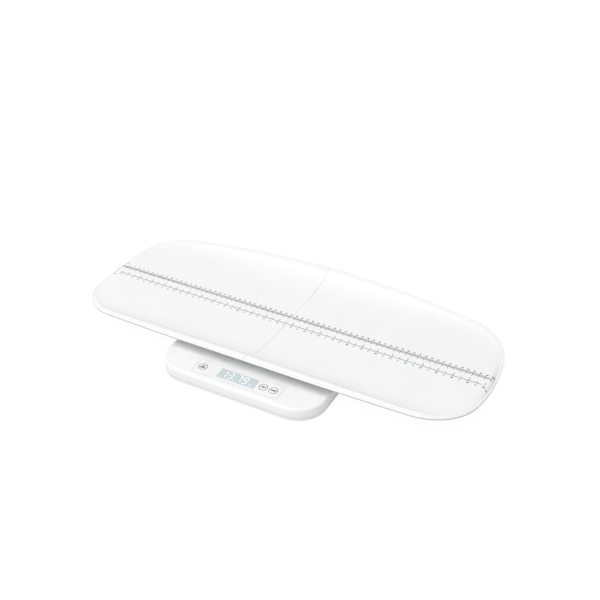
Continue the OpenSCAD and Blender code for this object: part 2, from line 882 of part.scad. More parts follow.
module board_screws() {
  head_h = 1.2;
  shank = board_t + board_screw_bite;
  color("silver") on_panel()
    for (p = board_fix_places)
      translate([p.x, p.y, board_under - head_h]) {
        cylinder(r = 2, h = head_h);
        translate([0, 0, head_h]) cylinder(r = board_screw_r, h = shank);
      }
}

screw_sink = 2.4;
module shell_screws() {
  head_h = 1.8;
  color("silver")
    for (p = screw_places)
      translate([p.x, p.y, foot_h + screw_sink - head_h]) {
        cylinder(r = screw_head_r, h = head_h);
        translate([0, 0, head_h])
          cylinder(r = screw_r, h = join_z - foot_h - screw_sink + screw_bite);
      }
}

// Load cells: a steel frame with a tongue that the foot presses up
module load_cell(end, side) {
  hole = cell_w - 2 * cell_frame;
  tongue = 13;
  color("darkgray") at_foot(end, side)
    translate([0, 0, cell_z]) difference() {
      translate([-cell_w / 2, -cell_w / 2, 0]) cube([cell_w, cell_w, cell_t]);
      difference() {
        translate([-hole / 2, -hole / 2, -1]) cube([hole, hole, cell_t + 2]);
        translate([-tongue / 2, -hole / 2 - 1, -2])
          cube([tongue, hole / 2 + tongue / 2 + 2, cell_t + 4]);
      }
      translate([0, 0, -1]) cell_pegs(peg_r + 0.1, cell_t + 2);
    }
}

module foot_cup(end, side) {
  cup_top = cell_z - 2;
  stud_r = 5;
  color("whitesmoke") at_foot(end, side) {
    translate([0, 0, pad_t]) cylinder(r = foot_r, h = cup_top - pad_t);
    translate([0, 0, cup_top]) cylinder(r = stud_r, h = cell_z - cup_top);
  }
}

module foot_pad(end, side) {
  color("dimgray") at_foot(end, side) cylinder(r = pad_r, h = pad_t);
}

module strain_gauges() {
  gauge = [6, 9, 0.4];
  color("darkorange") all_feet()
    translate([-gauge.x / 2, -gauge.y - 4, cell_top_z]) cube(gauge);
}

// Wires: round tubes that follow points chosen by hand
function unit(v) = v / norm(v);
function sweep_frame(d) =
  let (side = abs(d.z) > 0.9 ? [1, 0, 0] : [0, 0, 1])
  let (u = unit(cross(side, d)))
  [u, cross(d, u)];
module tube(path, r) {
  n = len(path);
  sides = 8;
  dirs = [for (i = [0:n - 1])
    i == 0 ? unit(path[1] - path[0]) :
    i == n - 1 ? unit(path[n - 1] - path[n - 2]) :
    unit(unit(path[i] - path[i - 1]) + unit(path[i + 1] - path[i]))];
  points = [for (i = [0:n - 1])
    let (f = sweep_frame(dirs[i]))
    for (k = [0:sides - 1])
      path[i] + r * (cos(360 * k / sides) * f[0] + sin(360 * k / sides) * f[1])];
  strips = [for (i = [0:n - 2], k = [0:sides - 1])
    let (a = i * sides + k, b = i * sides + (k + 1) % sides)
    each [[a, a + sides, b], [b, a + sides, b + sides]]];
  first = [for (k = [0:sides - 1]) k];
  last = [for (k = [sides - 1:-1:0]) (n - 1) * sides + k];
  polyhedron(points, concat(strips, [first, last]));
}

// Rounds each inner corner of a path with a short curve
function soften(path, bend) = concat(
  [path[0]],
  [for (i = [1:len(path) - 2])
    let (p = path[i])
    let (a = p + bend * unit(path[i - 1] - p), c = p + bend * unit(path[i + 1] - p))
    for (t = [0, 0.33, 0.67, 1])
      (1 - t) ^ 2 * a + 2 * t * (1 - t) * p + t ^ 2 * c],
  [path[len(path) - 1]]
);

// A point of the panel's frame in the part's frame
function from_panel(p) = [
  p.x,
  base_front_y + panel_mid_w + p.y * cos(apron_tilt) - p.z * sin(apron_tilt),
  base_top(panel_mid_w) + p.y * sin(apron_tilt) + p.z * cos(apron_tilt)
];
wire_z = plate_top_z + wire_r;
wire_bend = 4 * wire_r;
wire_sink = 1.5;
over_cell = foot_x - cell_w / 2;
over_cell_z = cell_top_z + wire_r;
function plug_mouth(i) =
  from_panel([plug_places[i], plug_y, board_under - plug_size.z + wire_sink]);

module front_wire(end, plug) {
  mouth = plug_mouth(plug);
  tube(soften([
    [end * (over_cell + wire_bend), foot_front_y, over_cell_z],
    [end * (over_cell - wire_bend), foot_front_y, over_cell_z],
    [end * (over_cell - wire_bend), foot_front_y, wire_z],
    [end * abs(mouth.x), foot_front_y, wire_z],
    [mouth.x, mouth.y, wire_z + wire_bend],
    mouth
  ], wire_bend / 2), wire_r);
}

module back_wire(end, plug) {
  mouth = plug_mouth(plug);
  lane = (screw_mid_x + over_cell) / 2 - wire_bend;
  tube(soften([
    [end * (over_cell + wire_bend), foot_back_y, over_cell_z],
    [end * (over_cell - wire_bend), foot_back_y, over_cell_z],
    [end * (over_cell - wire_bend), foot_back_y, wire_z],
    [end * lane, foot_back_y - cell_w / 2, wire_z],
    [end * lane, foot_front_y + cell_w / 2, wire_z],
    [mouth.x, mouth.y + 3 * wire_bend, wire_z],
    [mouth.x, mouth.y, wire_z + wire_bend],
    mouth
  ], wire_bend / 2), wire_r);
}

module sensor_wires() {
  color("firebrick") {
    front_wire(-1, 0);
    front_wire(1, 4);
    back_wire(-1, 1);
    back_wire(1, 3);
  }
}

module battery_lead() {
  mouth = plug_mouth(2);
  bay_front_y = bay_y - bay_d / 2 - bay_t;
  color("black") tube(soften([
    [mouth.x, bay_front_y, wire_z + wire_bend],
    [mouth.x, bay_front_y - 3 * wire_bend, wire_z],
    [mouth.x, mouth.y + 3 * wire_bend, wire_z],
    [mouth.x, mouth.y, wire_z + wire_bend],
    mouth
  ], wire_bend / 2), wire_r);
}

tray_left();
tray_right();
tray_frame_left();
tray_frame_right();
tray_posts_left();
tray_posts_right();
base_top_shell();
base_bottom_cover();
battery_door();
batteries();
battery_springs();
battery_contacts();
panel_overlay();
lcd_window();
lcd_glass();
lcd_backlight();
main_board();
controller_chip();
wire_plugs();
key_switches();
button_power();
button_unit();
button_tare();
plunger_power();
plunger_unit();
plunger_tare();
board_screws();
shell_screws();
load_cell(-1, -1);  // load_cell_front_left
load_cell(1, -1);  // load_cell_front_right
load_cell(-1, 1);  // load_cell_back_left
load_cell(1, 1);  // load_cell_back_right
foot_cup(-1, -1);  // foot_cup_front_left
foot_cup(1, -1);  // foot_cup_front_right
foot_cup(-1, 1);  // foot_cup_back_left
foot_cup(1, 1);  // foot_cup_back_right
foot_pad(-1, -1);  // foot_pad_front_left
foot_pad(1, -1);  // foot_pad_front_right
foot_pad(-1, 1);  // foot_pad_back_left
foot_pad(1, 1);  // foot_pad_back_right
strain_gauges();
sensor_wires();
battery_lead();
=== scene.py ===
"""Looks of a digital baby weighing scale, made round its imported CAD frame.

A long two-piece tray with a printed ruler stands on a low weighing base with a
display, three push buttons, a battery door and four rubber feet. Lengths in the
form classes are millimetres of the part's own frame; meshes are in metres.
"""

import logging
import math
from collections.abc import Iterable, Sequence
from dataclasses import dataclass, field, replace
from enum import Enum

import bmesh
import bpy
from mathutils import Matrix, Vector
from mathutils.bvhtree import BVHTree


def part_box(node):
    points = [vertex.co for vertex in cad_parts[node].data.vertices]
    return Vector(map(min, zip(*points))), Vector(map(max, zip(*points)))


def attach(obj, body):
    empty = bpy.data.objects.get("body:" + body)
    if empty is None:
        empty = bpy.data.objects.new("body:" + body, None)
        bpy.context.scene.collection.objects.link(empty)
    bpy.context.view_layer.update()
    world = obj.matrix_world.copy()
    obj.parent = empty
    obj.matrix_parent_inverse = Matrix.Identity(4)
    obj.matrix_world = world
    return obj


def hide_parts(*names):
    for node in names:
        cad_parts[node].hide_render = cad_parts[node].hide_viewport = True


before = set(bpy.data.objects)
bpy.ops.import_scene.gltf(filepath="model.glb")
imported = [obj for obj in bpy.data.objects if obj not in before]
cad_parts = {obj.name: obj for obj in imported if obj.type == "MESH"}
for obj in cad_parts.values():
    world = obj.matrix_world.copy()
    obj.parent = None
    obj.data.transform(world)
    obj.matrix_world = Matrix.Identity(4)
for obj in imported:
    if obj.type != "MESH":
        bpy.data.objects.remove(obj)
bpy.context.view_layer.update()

LOG = logging.getLogger("baby_scale")
MM = 0.001
CREASE = 32.0
CAPITAL_SHARE = 0.7
BUTTON_KEYS = ("power", "unit", "tare")
CORNERS = ("front_left", "front_right", "back_left", "back_right")

Point2 = tuple[float, float]
Point3 = tuple[float, float, float]


# --------------------------------------------------------------------------
# Finishes
# --------------------------------------------------------------------------


class Grain(Enum):
    """The small surface detail that a finish shows."""

    SATIN = "satin"
    MOULDED = "moulded"
    BRUSHED = "brushed"
    RUBBER = "rubber"
    BOARD = "board"
    PRINT = "print"


EVEN: Point3 = (1.0, 1.0, 1.0)
ALONG_X: Point3 = (0.04, 1.0, 1.0)
WANDER_SIZE = 45.0
SHEEN_SIZE = 12.0
TRACK_SIZE = 3.5
TRACK_GREEN: Point3 = (0.12, 0.42, 0.2)


@dataclass(frozen=True)
class Ground:
    """What a finish is built on: its node tree, shader and coordinates."""

    tree: bpy.types.NodeTree
    shader: bpy.types.Node
    place: bpy.types.NodeSocket


@dataclass(frozen=True)
class Finish:
    """One surface finish, made once as a node material.

    Colours are linear. Grain sizes and heights are in millimetres.
    """

    name: str
    colour: Point3
    roughness: float
    grain: Grain
    metallic: float = 0.0
    specular: float = 0.5
    coat: float = 0.0
    alpha: float = 1.0
    grain_size: float = 0.6
    grain_height: float = 0.004
    tone_shift: float = 0.012

    def material(self) -> bpy.types.Material:
        """Return this finish's material, building it the first time.

        Returns:
            The node material of this finish.
        """
        known = bpy.data.materials.get(self.name)
        if known is not None:
            return known
        made = bpy.data.materials.new(self.name)
        made.use_nodes = True
        made.diffuse_color = (*self.colour, self.alpha)
        tree = made.node_tree
        shader = tree.nodes["Principled BSDF"]
        shader.inputs["Metallic"].default_value = self.metallic
        shader.inputs["Specular IOR Level"].default_value = self.specular
        shader.inputs["Coat Weight"].default_value = self.coat
        shader.inputs["Coat Roughness"].default_value = 0.08
        shader.inputs["Alpha"].default_value = self.alpha
        place = tree.nodes.new("ShaderNodeTexCoord").outputs["Object"]
        on = Ground(tree, shader, place)
        self._tone(on)
        self._sheen(on)
        self._relief(on)
        return made

    def _noise(self, on: Ground, size: float, stretch: Point3) -> bpy.types.NodeSocket:
        """Add a noise whose cells are about a given size.

        Args:
            on: What the finish is built on.
            size: The cell size in millimetres.
            stretch: How much finer the noise is along each axis.

        Returns:
            The noise's value socket.
        """
        mapping = on.tree.nodes.new("ShaderNodeMapping")
        mapping.inputs["Scale"].default_value = stretch
        noise = on.tree.nodes.new("ShaderNodeTexNoise")
        noise.inputs["Scale"].default_value = 1.0 / (size * MM)
        noise.inputs["Detail"].default_value = 3.0
        on.tree.links.new(on.place, mapping.inputs["Vector"])
        on.tree.links.new(mapping.outputs["Vector"], noise.inputs["Vector"])
        return noise.outputs["Fac"]

    def _ramp(
        self, on: Ground, value: bpy.types.NodeSocket, *stops: tuple[float, Point3]
    ) -> bpy.types.Node:
        """Add a ramp between two colours.

        Args:
            on: What the finish is built on.
            value: The socket that drives the ramp.
            *stops: The place and colour of each end.

        Returns:
            The ramp's node.
        """
        ramp = on.tree.nodes.new("ShaderNodeValToRGB")
        for element, (position, colour) in zip(ramp.color_ramp.elements, stops):
            element.position = position
            element.color = (*colour, 1.0)
        on.tree.links.new(value, ramp.inputs["Fac"])
        return ramp

    def _tone(self, on: Ground) -> None:
        """Give the colour a slight wander, as moulding and printing leave it.

        Args:
            on: What the finish is built on.
        """
        low = tuple(c * (1.0 - self.tone_shift) for c in self.colour)
        high = tuple(min(1.0, c * (1.0 + self.tone_shift)) for c in self.colour)
        wander = self._noise(on, WANDER_SIZE, EVEN)
        ramp = self._ramp(on, wander, (0.3, low), (0.7, high))
        if self.grain is not Grain.BOARD:
            on.tree.links.new(ramp.outputs["Color"], on.shader.inputs["Base Color"])
            return
        cells = on.tree.nodes.new("ShaderNodeTexVoronoi")
        cells.feature = "DISTANCE_TO_EDGE"
        cells.distance = "MANHATTAN"
        cells.inputs["Scale"].default_value = 1.0 / (TRACK_SIZE * MM)
        on.tree.links.new(on.place, cells.inputs["Vector"])
        edge = cells.outputs["Distance"]
        track = self._ramp(on, edge, (0.05, TRACK_GREEN), (0.09, self.colour))
        on.tree.links.new(track.outputs["Color"], on.shader.inputs["Base Color"])

    def _sheen(self, on: Ground) -> None:
        """Let the roughness vary a little over the surface.

        Args:
            on: What the finish is built on.
        """
        spread = on.tree.nodes.new("ShaderNodeMapRange")
        spread.inputs["To Min"].default_value = self.roughness * 0.88
        spread.inputs["To Max"].default_value = min(1.0, self.roughness * 1.12)
        on.tree.links.new(self._noise(on, SHEEN_SIZE, EVEN), spread.inputs["Value"])
        on.tree.links.new(spread.outputs["Result"], on.shader.inputs["Roughness"])

    def _relief(self, on: Ground) -> None:
        """Add the fine relief of the finish's grain.

        Args:
            on: What the finish is built on.
        """
        if self.grain is Grain.PRINT:
            return
        stretch = ALONG_X if self.grain is Grain.BRUSHED else EVEN
        bump = on.tree.nodes.new("ShaderNodeBump")
        bump.inputs["Strength"].default_value = 1.0
        bump.inputs["Distance"].default_value = self.grain_height * MM
        height = self._noise(on, self.grain_size, stretch)
        on.tree.links.new(height, bump.inputs["Height"])
        on.tree.links.new(bump.outputs["Normal"], on.shader.inputs["Normal"])


TRAY_WHITE = Finish("tray_white", (0.86, 0.86, 0.863), 0.34, Grain.SATIN, specular=0.35)
BASE_WHITE = Finish("base_white", (0.86, 0.86, 0.863), 0.3, Grain.SATIN, specular=0.3)
# Painted shadow: a grey for the groove along the tray skirt's lower edge, darkening the groove
# where shade falls.
GROOVE_SHADOW_GREY = Finish("trim_grey", (0.42, 0.42, 0.425), 0.6, Grain.RUBBER, grain_height=0.01)
RIB_WHITE = Finish("rib_white", (0.82, 0.82, 0.825), 0.5, Grain.MOULDED, grain_height=0.01)
COVER_WHITE = Finish(
    "cover_white", (0.8, 0.8, 0.805), 0.52, Grain.MOULDED, grain_size=0.9, grain_height=0.02
)
FILM_WHITE = Finish(
    "film_white", (0.85, 0.85, 0.853), 0.26, Grain.SATIN, grain_height=0.002, specular=0.3
)
BUTTON_WHITE = Finish("button_white", (0.87, 0.87, 0.875), 0.3, Grain.SATIN)
WINDOW_CLEAR = Finish(
    "window_clear", (0.615, 0.69, 0.71), 0.12, Grain.PRINT, alpha=0.93, specular=0.5
)
DISPLAY_FACE = Finish("display_face", (0.62, 0.7, 0.72), 0.4, Grain.PRINT, tone_shift=0.006)
DIGIT_WHITE = Finish("digit_white", (0.97, 0.98, 0.98), 0.5, Grain.PRINT, tone_shift=0.002)
GUIDE_MILKY = Finish("guide_milky", (0.8, 0.8, 0.76), 0.45, Grain.SATIN)
INK_RULER = Finish("ink_ruler", (0.13, 0.13, 0.135), 0.6, Grain.PRINT, specular=0.2)
INK_NUMBER = Finish("ink_number", (0.05, 0.05, 0.055), 0.6, Grain.PRINT, specular=0.2)
INK_PANEL = Finish("ink_panel", (0.035, 0.035, 0.037), 0.55, Grain.PRINT, specular=0.25)
RUBBER_GREY = Finish(
    "rubber_grey", (0.09, 0.09, 0.095), 0.78, Grain.RUBBER, grain_size=0.4, grain_height=0.03
)
STEEL_BRUSHED = Finish(
    "steel_brushed", (0.56, 0.57, 0.58), 0.32, Grain.BRUSHED, metallic=1.0, grain_size=0.25
)
SCREW_ZINC = Finish(
    "screw_zinc", (0.62, 0.62, 0.6), 0.28, Grain.BRUSHED, metallic=1.0, grain_size=0.3
)
INK_PALE = Finish("ink_pale", (0.6, 0.6, 0.61), 0.5, Grain.PRINT)
NICKEL = Finish("nickel", (0.7, 0.69, 0.66), 0.2, Grain.BRUSHED, metallic=1.0, grain_size=0.2)
JACKET_GREY = Finish("jacket_grey", (0.1, 0.11, 0.13), 0.25, Grain.SATIN, coat=0.3)
BOARD_GREEN = Finish("board_green", (0.02, 0.16, 0.06), 0.3, Grain.BOARD, coat=0.3)
RESIN_BLACK = Finish("resin_black", (0.02, 0.02, 0.022), 0.45, Grain.MOULDED)
NYLON = Finish("nylon", (0.72, 0.7, 0.64), 0.5, Grain.MOULDED)
GAUGE_AMBER = Finish("gauge_amber", (0.55, 0.24, 0.05), 0.3, Grain.SATIN, coat=0.5)
WIRE_RED = Finish("wire_red", (0.45, 0.02, 0.02), 0.4, Grain.RUBBER, grain_height=0.006)
WIRE_BLACK = Finish("wire_black", (0.02, 0.02, 0.02), 0.42, Grain.RUBBER, grain_height=0.006)


# --------------------------------------------------------------------------
# Mesh helpers
# --------------------------------------------------------------------------


def placed(name: str, data: bpy.types.ID) -> bpy.types.Object:
    """Make an object of some data and put it into the scene.

    Args:
        name: The object's name.
        data: Its mesh, curve, camera or lamp.

    Returns:
        The new object.
    """
    made = bpy.data.objects.new(name, data)
    bpy.context.scene.collection.objects.link(made)
    return made


def link(name: str, mesh: bpy.types.Mesh, *finishes: Finish) -> bpy.types.Object:
    """Put a mesh into the scene as one piece.

    Args:
        name: The piece's name.
        mesh: Its mesh, in place.
        *finishes: The finishes of its material slots, in order.

    Returns:
        The new object.
    """
    mesh.name = name
    picks = [face.material_index for face in mesh.polygons]
    mesh.materials.clear()
    for finish in finishes:
        mesh.materials.append(finish.material())
    for face, pick in zip(mesh.polygons, picks):
        face.material_index = min(pick, len(finishes) - 1)
    return placed(name, mesh)


def report(piece: bpy.types.Object) -> None:
    """Log a piece's name and size."""
    LOG.info("%s: %d faces", piece.name, len(piece.data.polygons))


def dress_node(node: str, finish: Finish) -> None:
    """Give a CAD node that stays its finish.

    Args:
        node: The node's name.
        finish: Its finish.
    """
    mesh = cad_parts[node].data
    mesh.materials.clear()
    mesh.materials.append(finish.material())


def mesh_of(
    name: str,
    points: Sequence[Sequence[float]],
    faces: Sequence[Sequence[int]],
    crease: float = CREASE,
) -> bpy.types.Mesh:
    """Make a mesh from points in millimetres.

    Args:
        name: The mesh's name.
        points: Its points, in millimetres.
        faces: Its faces as point numbers.
        crease: Edges that turn by more than this many degrees stay sharp.

    Returns:
        The mesh, in metres, with its faces pointing outwards.
    """
    mesh = bpy.data.meshes.new(name)
    mesh.from_pydata([tuple(c * MM for c in p) for p in points], [], faces)
    tidy(mesh, crease)
    return mesh


def tidy(mesh: bpy.types.Mesh, crease: float = CREASE, merge: float = 1e-7) -> None:
    """Merge doubled points, turn faces outwards and shade smoothly.

    Args:
        mesh: The mesh to finish.
        crease: Edges that turn by more than this many degrees stay sharp.
        merge: The distance under which points are one, in metres.
    """
    work = bmesh.new()
    work.from_mesh(mesh)
    bmesh.ops.remove_doubles(work, verts=work.verts, dist=merge)
    bmesh.ops.recalc_face_normals(work, faces=work.faces)
    for face in work.faces:
        face.smooth = True
    work.to_mesh(mesh)
    work.free()
    mesh.set_sharp_from_angle(angle=math.radians(crease))


def evaluated(obj: bpy.types.Object, name: str) -> bpy.types.Mesh:
    """Turn an object with its modifiers into a plain mesh and remove the object.

    Args:
        obj: The object to evaluate.
        name: The new mesh's name.

    Returns:
        The plain mesh, in the scene's frame.
    """
    graph = bpy.context.evaluated_depsgraph_get()
    graph.update()
    mesh = bpy.data.meshes.new_from_object(obj.evaluated_get(graph))
    mesh.transform(obj.matrix_world)
    mesh.name = name
    bpy.data.objects.remove(obj)
    return mesh


def joined(name: str, meshes: Iterable[bpy.types.Mesh]) -> bpy.types.Mesh:
    """Join meshes into one.

    Args:
        name: The new mesh's name.
        meshes: The meshes to join.

    Returns:
        One mesh that holds them all.
    """
    work = bmesh.new()
    for mesh in meshes:
        work.from_mesh(mesh)
    made = bpy.data.meshes.new(name)
    work.to_mesh(made)
    work.free()
    return made


def lathe(
    name: str, outline: Sequence[Point2], steps: int = 64, crease: float = CREASE
) -> bpy.types.Mesh:
    """Turn an outline about the Z axis.

    Args:
        name: The mesh's name.
        outline: Radius and height pairs in millimetres, from axis to axis.
        steps: The number of steps round the axis.
        crease: Edges that turn by more than this many degrees stay sharp.

    Returns:
        The closed mesh.
    """
    points: list[Point3] = []
    rings: list[list[int]] = []
    for r, z in outline:
        if r < 1e-6:
            rings.append([len(points)])
            points.append((0.0, 0.0, z))
            continue
        start = len(points)
        for i in range(steps):
            turn = 2 * math.pi * i / steps
            points.append((r * math.cos(turn), r * math.sin(turn), z))
        rings.append(list(range(start, start + steps)))
    faces: list[list[int]] = []
    for low, high in zip(rings, rings[1:]):
        for i in range(steps):
            j = (i + 1) % steps
            if len(low) == 1:
                faces.append([low[0], high[i], high[j]])
            elif len(high) == 1:
                faces.append([low[i], high[0], low[j]])
            else:
                faces.append([low[i], high[i], high[j], low[j]])
    return mesh_of(name, points, faces, crease)


def block(low: Point3, high: Point3) -> bpy.types.Mesh:
    """Make a plain box, used as a cutter or a rib.

    Args:
        low: Its lowest corner in millimetres.
        high: Its highest corner in millimetres.

    Returns:
        The box's mesh.
    """
    xs, ys, zs = zip(low, high)
    points = [(x, y, z) for x in xs for y in ys for z in zs]
    faces = [[0, 1, 3, 2], [4, 6, 7, 5], [0, 4, 5, 1], [2, 3, 7, 6], [0, 2, 6, 4], [1, 5, 7, 3]]
    return mesh_of("block", points, faces)


def moved(mesh: bpy.types.Mesh, x: float, y: float, z: float) -> bpy.types.Mesh:
    """Shift a mesh by millimetres and return it."""
    mesh.transform(Matrix.Translation(Vector((x, y, z)) * MM))
    return mesh


def cut(mesh: bpy.types.Mesh, cutter: bpy.types.Mesh, crease: float = CREASE) -> bpy.types.Mesh:
    """Cut one closed mesh out of another.

    Args:
        mesh: The mesh that is kept.
        cutter: The mesh that is taken away.
        crease: Edges that turn by more than this many degrees stay sharp.

    Returns:
        The cut mesh.
    """
    body = placed("body", mesh)
    tool = placed("tool", cutter)
    step = body.modifiers.new("cut", "BOOLEAN")
    step.operation = "DIFFERENCE"
    step.solver = "EXACT"
    step.use_self = True
    step.object = tool
    made = evaluated(body, mesh.name)
    bpy.data.objects.remove(tool)
    tidy(made, crease, merge=2e-6)
    return made


# --------------------------------------------------------------------------
# Geometry node trees
# --------------------------------------------------------------------------


class NodeTree:
    """A geometry node tree with named inputs, built in this script."""

    def __init__(self, name: str, inputs: Sequence[tuple[str, str]]) -> None:
        """Start a tree.

        Args:
            name: The tree's name.
            inputs: The name and socket type of each input.
        """
        self.tree = bpy.data.node_groups.new(name, "GeometryNodeTree")
        self.keys: dict[str, str] = {}
        face = self.tree.interface
        face.new_socket("Geometry", in_out="INPUT", socket_type="NodeSocketGeometry")
        for title, kind in inputs:
            item = face.new_socket(title, in_out="INPUT", socket_type=kind)
            self.keys[title] = item.identifier
        face.new_socket("Geometry", in_out="OUTPUT", socket_type="NodeSocketGeometry")
        self.start = self.tree.nodes.new("NodeGroupInput")
        self.end = self.tree.nodes.new("NodeGroupOutput")

    def add(self, kind: str, **feeds: object) -> bpy.types.Node:
        """Add a node and feed its inputs.

        Args:
            kind: The node's type.
            **feeds: Input names, with underscores for spaces, and their feeds: a
                socket is linked and any other value is set.

        Returns:
            The new node.
        """
        node = self.tree.nodes.new(kind)
        for title, feed in feeds.items():
            target = node.inputs[title.replace("_", " ")]
            if isinstance(feed, bpy.types.NodeSocket):
                self.tree.links.new(feed, target)
            else:
                target.default_value = feed
        return node

    def close(self, geometry: bpy.types.NodeSocket) -> None:
        """Realize what was made and give it its material.

        Args:
            geometry: The socket that carries the result.
        """
        whole = self.add("GeometryNodeRealizeInstances", Geometry=geometry)
        dressed = self.add(
            "GeometryNodeSetMaterial",
            Geometry=whole.outputs[0],
            Material=self.start.outputs["Material"],
        )
        self.tree.links.new(dressed.outputs[0], self.end.inputs[0])

    def run(self, name: str, mesh: bpy.types.Mesh, **values: object) -> bpy.types.Mesh:
        """Run the tree on a mesh and return the plain result.

        Args:
            name: The result's name.
            mesh: The mesh that the tree starts from.
            **values: The inputs by name, with underscores for spaces.

        Returns:
            The plain mesh that the tree made.
        """
        carrier = placed(name, mesh)
        step = carrier.modifiers.new("make", "NODES")
        step.node_group = self.tree
        for title, value in values.items():
            step[self.keys[title.replace("_", " ")]] = value
        return evaluated(carrier, name)


class TickRow(NodeTree):
    """A straight row of printed strokes."""

    def __init__(self) -> None:
        """Build the tree."""
        super().__init__(
            "tick_row",
            [
                ("Count", "NodeSocketInt"),
                ("Start", "NodeSocketVector"),
                ("Pitch", "NodeSocketFloat"),
                ("Stroke", "NodeSocketVector"),
                ("Material", "NodeSocketMaterial"),
            ],
        )
        given = self.start.outputs
        step = self.add("ShaderNodeCombineXYZ", X=given["Pitch"])
        line = self.add(
            "GeometryNodeMeshLine",
            Count=given["Count"],
            Start_Location=given["Start"],
            Offset=step.outputs[0],
        )
        stroke = self.add("GeometryNodeMeshCube", Size=given["Stroke"])
        row = self.add(
            "GeometryNodeInstanceOnPoints", Points=line.outputs[0], Instance=stroke.outputs[0]
        )
        self.close(row.outputs[0])


class CopyOnPoints(NodeTree):
    """A copy of one object on each point of the starting mesh."""

    def __init__(self) -> None:
        """Build the tree."""
        super().__init__(
            "copy_on_points",
            [("Copied", "NodeSocketObject"), ("Material", "NodeSocketMaterial")],
        )
        given = self.start.outputs
        source = self.add("GeometryNodeObjectInfo", Object=given["Copied"])
        spread = self.add(
            "GeometryNodeInstanceOnPoints",
            Points=given["Geometry"],
            Instance=source.outputs["Geometry"],
        )
        self.close(spread.outputs[0])


class WoundSpring(NodeTree):
    """A wire wound into a cone, along Z."""

    def __init__(self) -> None:
        """Build the tree."""
        super().__init__(
            "wound_spring",
            [
                ("Turns", "NodeSocketFloat"),
                ("Foot Radius", "NodeSocketFloat"),
                ("Tip Radius", "NodeSocketFloat"),
                ("Height", "NodeSocketFloat"),
                ("Wire Radius", "NodeSocketFloat"),
                ("Material", "NodeSocketMaterial"),
            ],
        )
        given = self.start.outputs
        path = self.add(
            "GeometryNodeCurveSpiral",
            Resolution=24,
            Rotations=given["Turns"],
            Start_Radius=given["Foot Radius"],
            End_Radius=given["Tip Radius"],
            Height=given["Height"],
        )
        wire = self.add("GeometryNodeCurvePrimitiveCircle", Resolution=8)
        self.tree.links.new(given["Wire Radius"], wire.inputs["Radius"])
        tube = self.add(
            "GeometryNodeCurveToMesh", Curve=path.outputs[0], Profile_Curve=wire.outputs[0]
        )
        tube.inputs["Fill Caps"].default_value = True
        self.close(tube.outputs[0])


def print_words(
    words: str, size: float, x: float, y: float, thick: float, bold: float = 0.0
) -> bpy.types.Mesh:
    """Make plain lettering, centred on a place.

    Args:
        words: What is printed.
        size: The height of a capital, in millimetres.
        x: The middle along X in millimetres.
        y: The middle along Y in millimetres.
        thick: The print's thickness in millimetres.
        bold: How far the strokes are widened, in millimetres.

    Returns:
        The lettering's mesh, its underside at z = 0.
    """
    text = bpy.data.curves.new("words", "FONT")
    text.body = words
    text.size = size * MM / CAPITAL_SHARE
    text.align_x = "CENTER"
    text.resolution_u = 2
    text.extrude = thick * MM / 2
    text.offset = bold * MM
    mesh = evaluated(placed("words", text), "words")
    tall = [v.co.y for v in mesh.vertices] or [0.0]
    middle = (min(tall) + max(tall)) / 2
    mesh.transform(Matrix.Translation((0.0, -middle, thick * MM / 2)))
    return moved(mesh, x, y, 0.0)


# --------------------------------------------------------------------------
# Tray
# --------------------------------------------------------------------------


@dataclass(frozen=True)
class Station:
    """One place on a quarter of the tray's outline."""

    centre: Point2
    radius: float
    turn: float
    share: float

    def at(self, inset: float) -> Point2:
        """Return the point that lies an inset inside the outline here.

        Args:
            inset: The distance from the outline in millimetres.

        Returns:
            X and Y from the tray's middle, in millimetres.
        """
        reach = self.radius - inset
        return (
            self.centre[0] + reach * math.sin(self.turn),
            self.centre[1] + reach * math.cos(self.turn),
        )


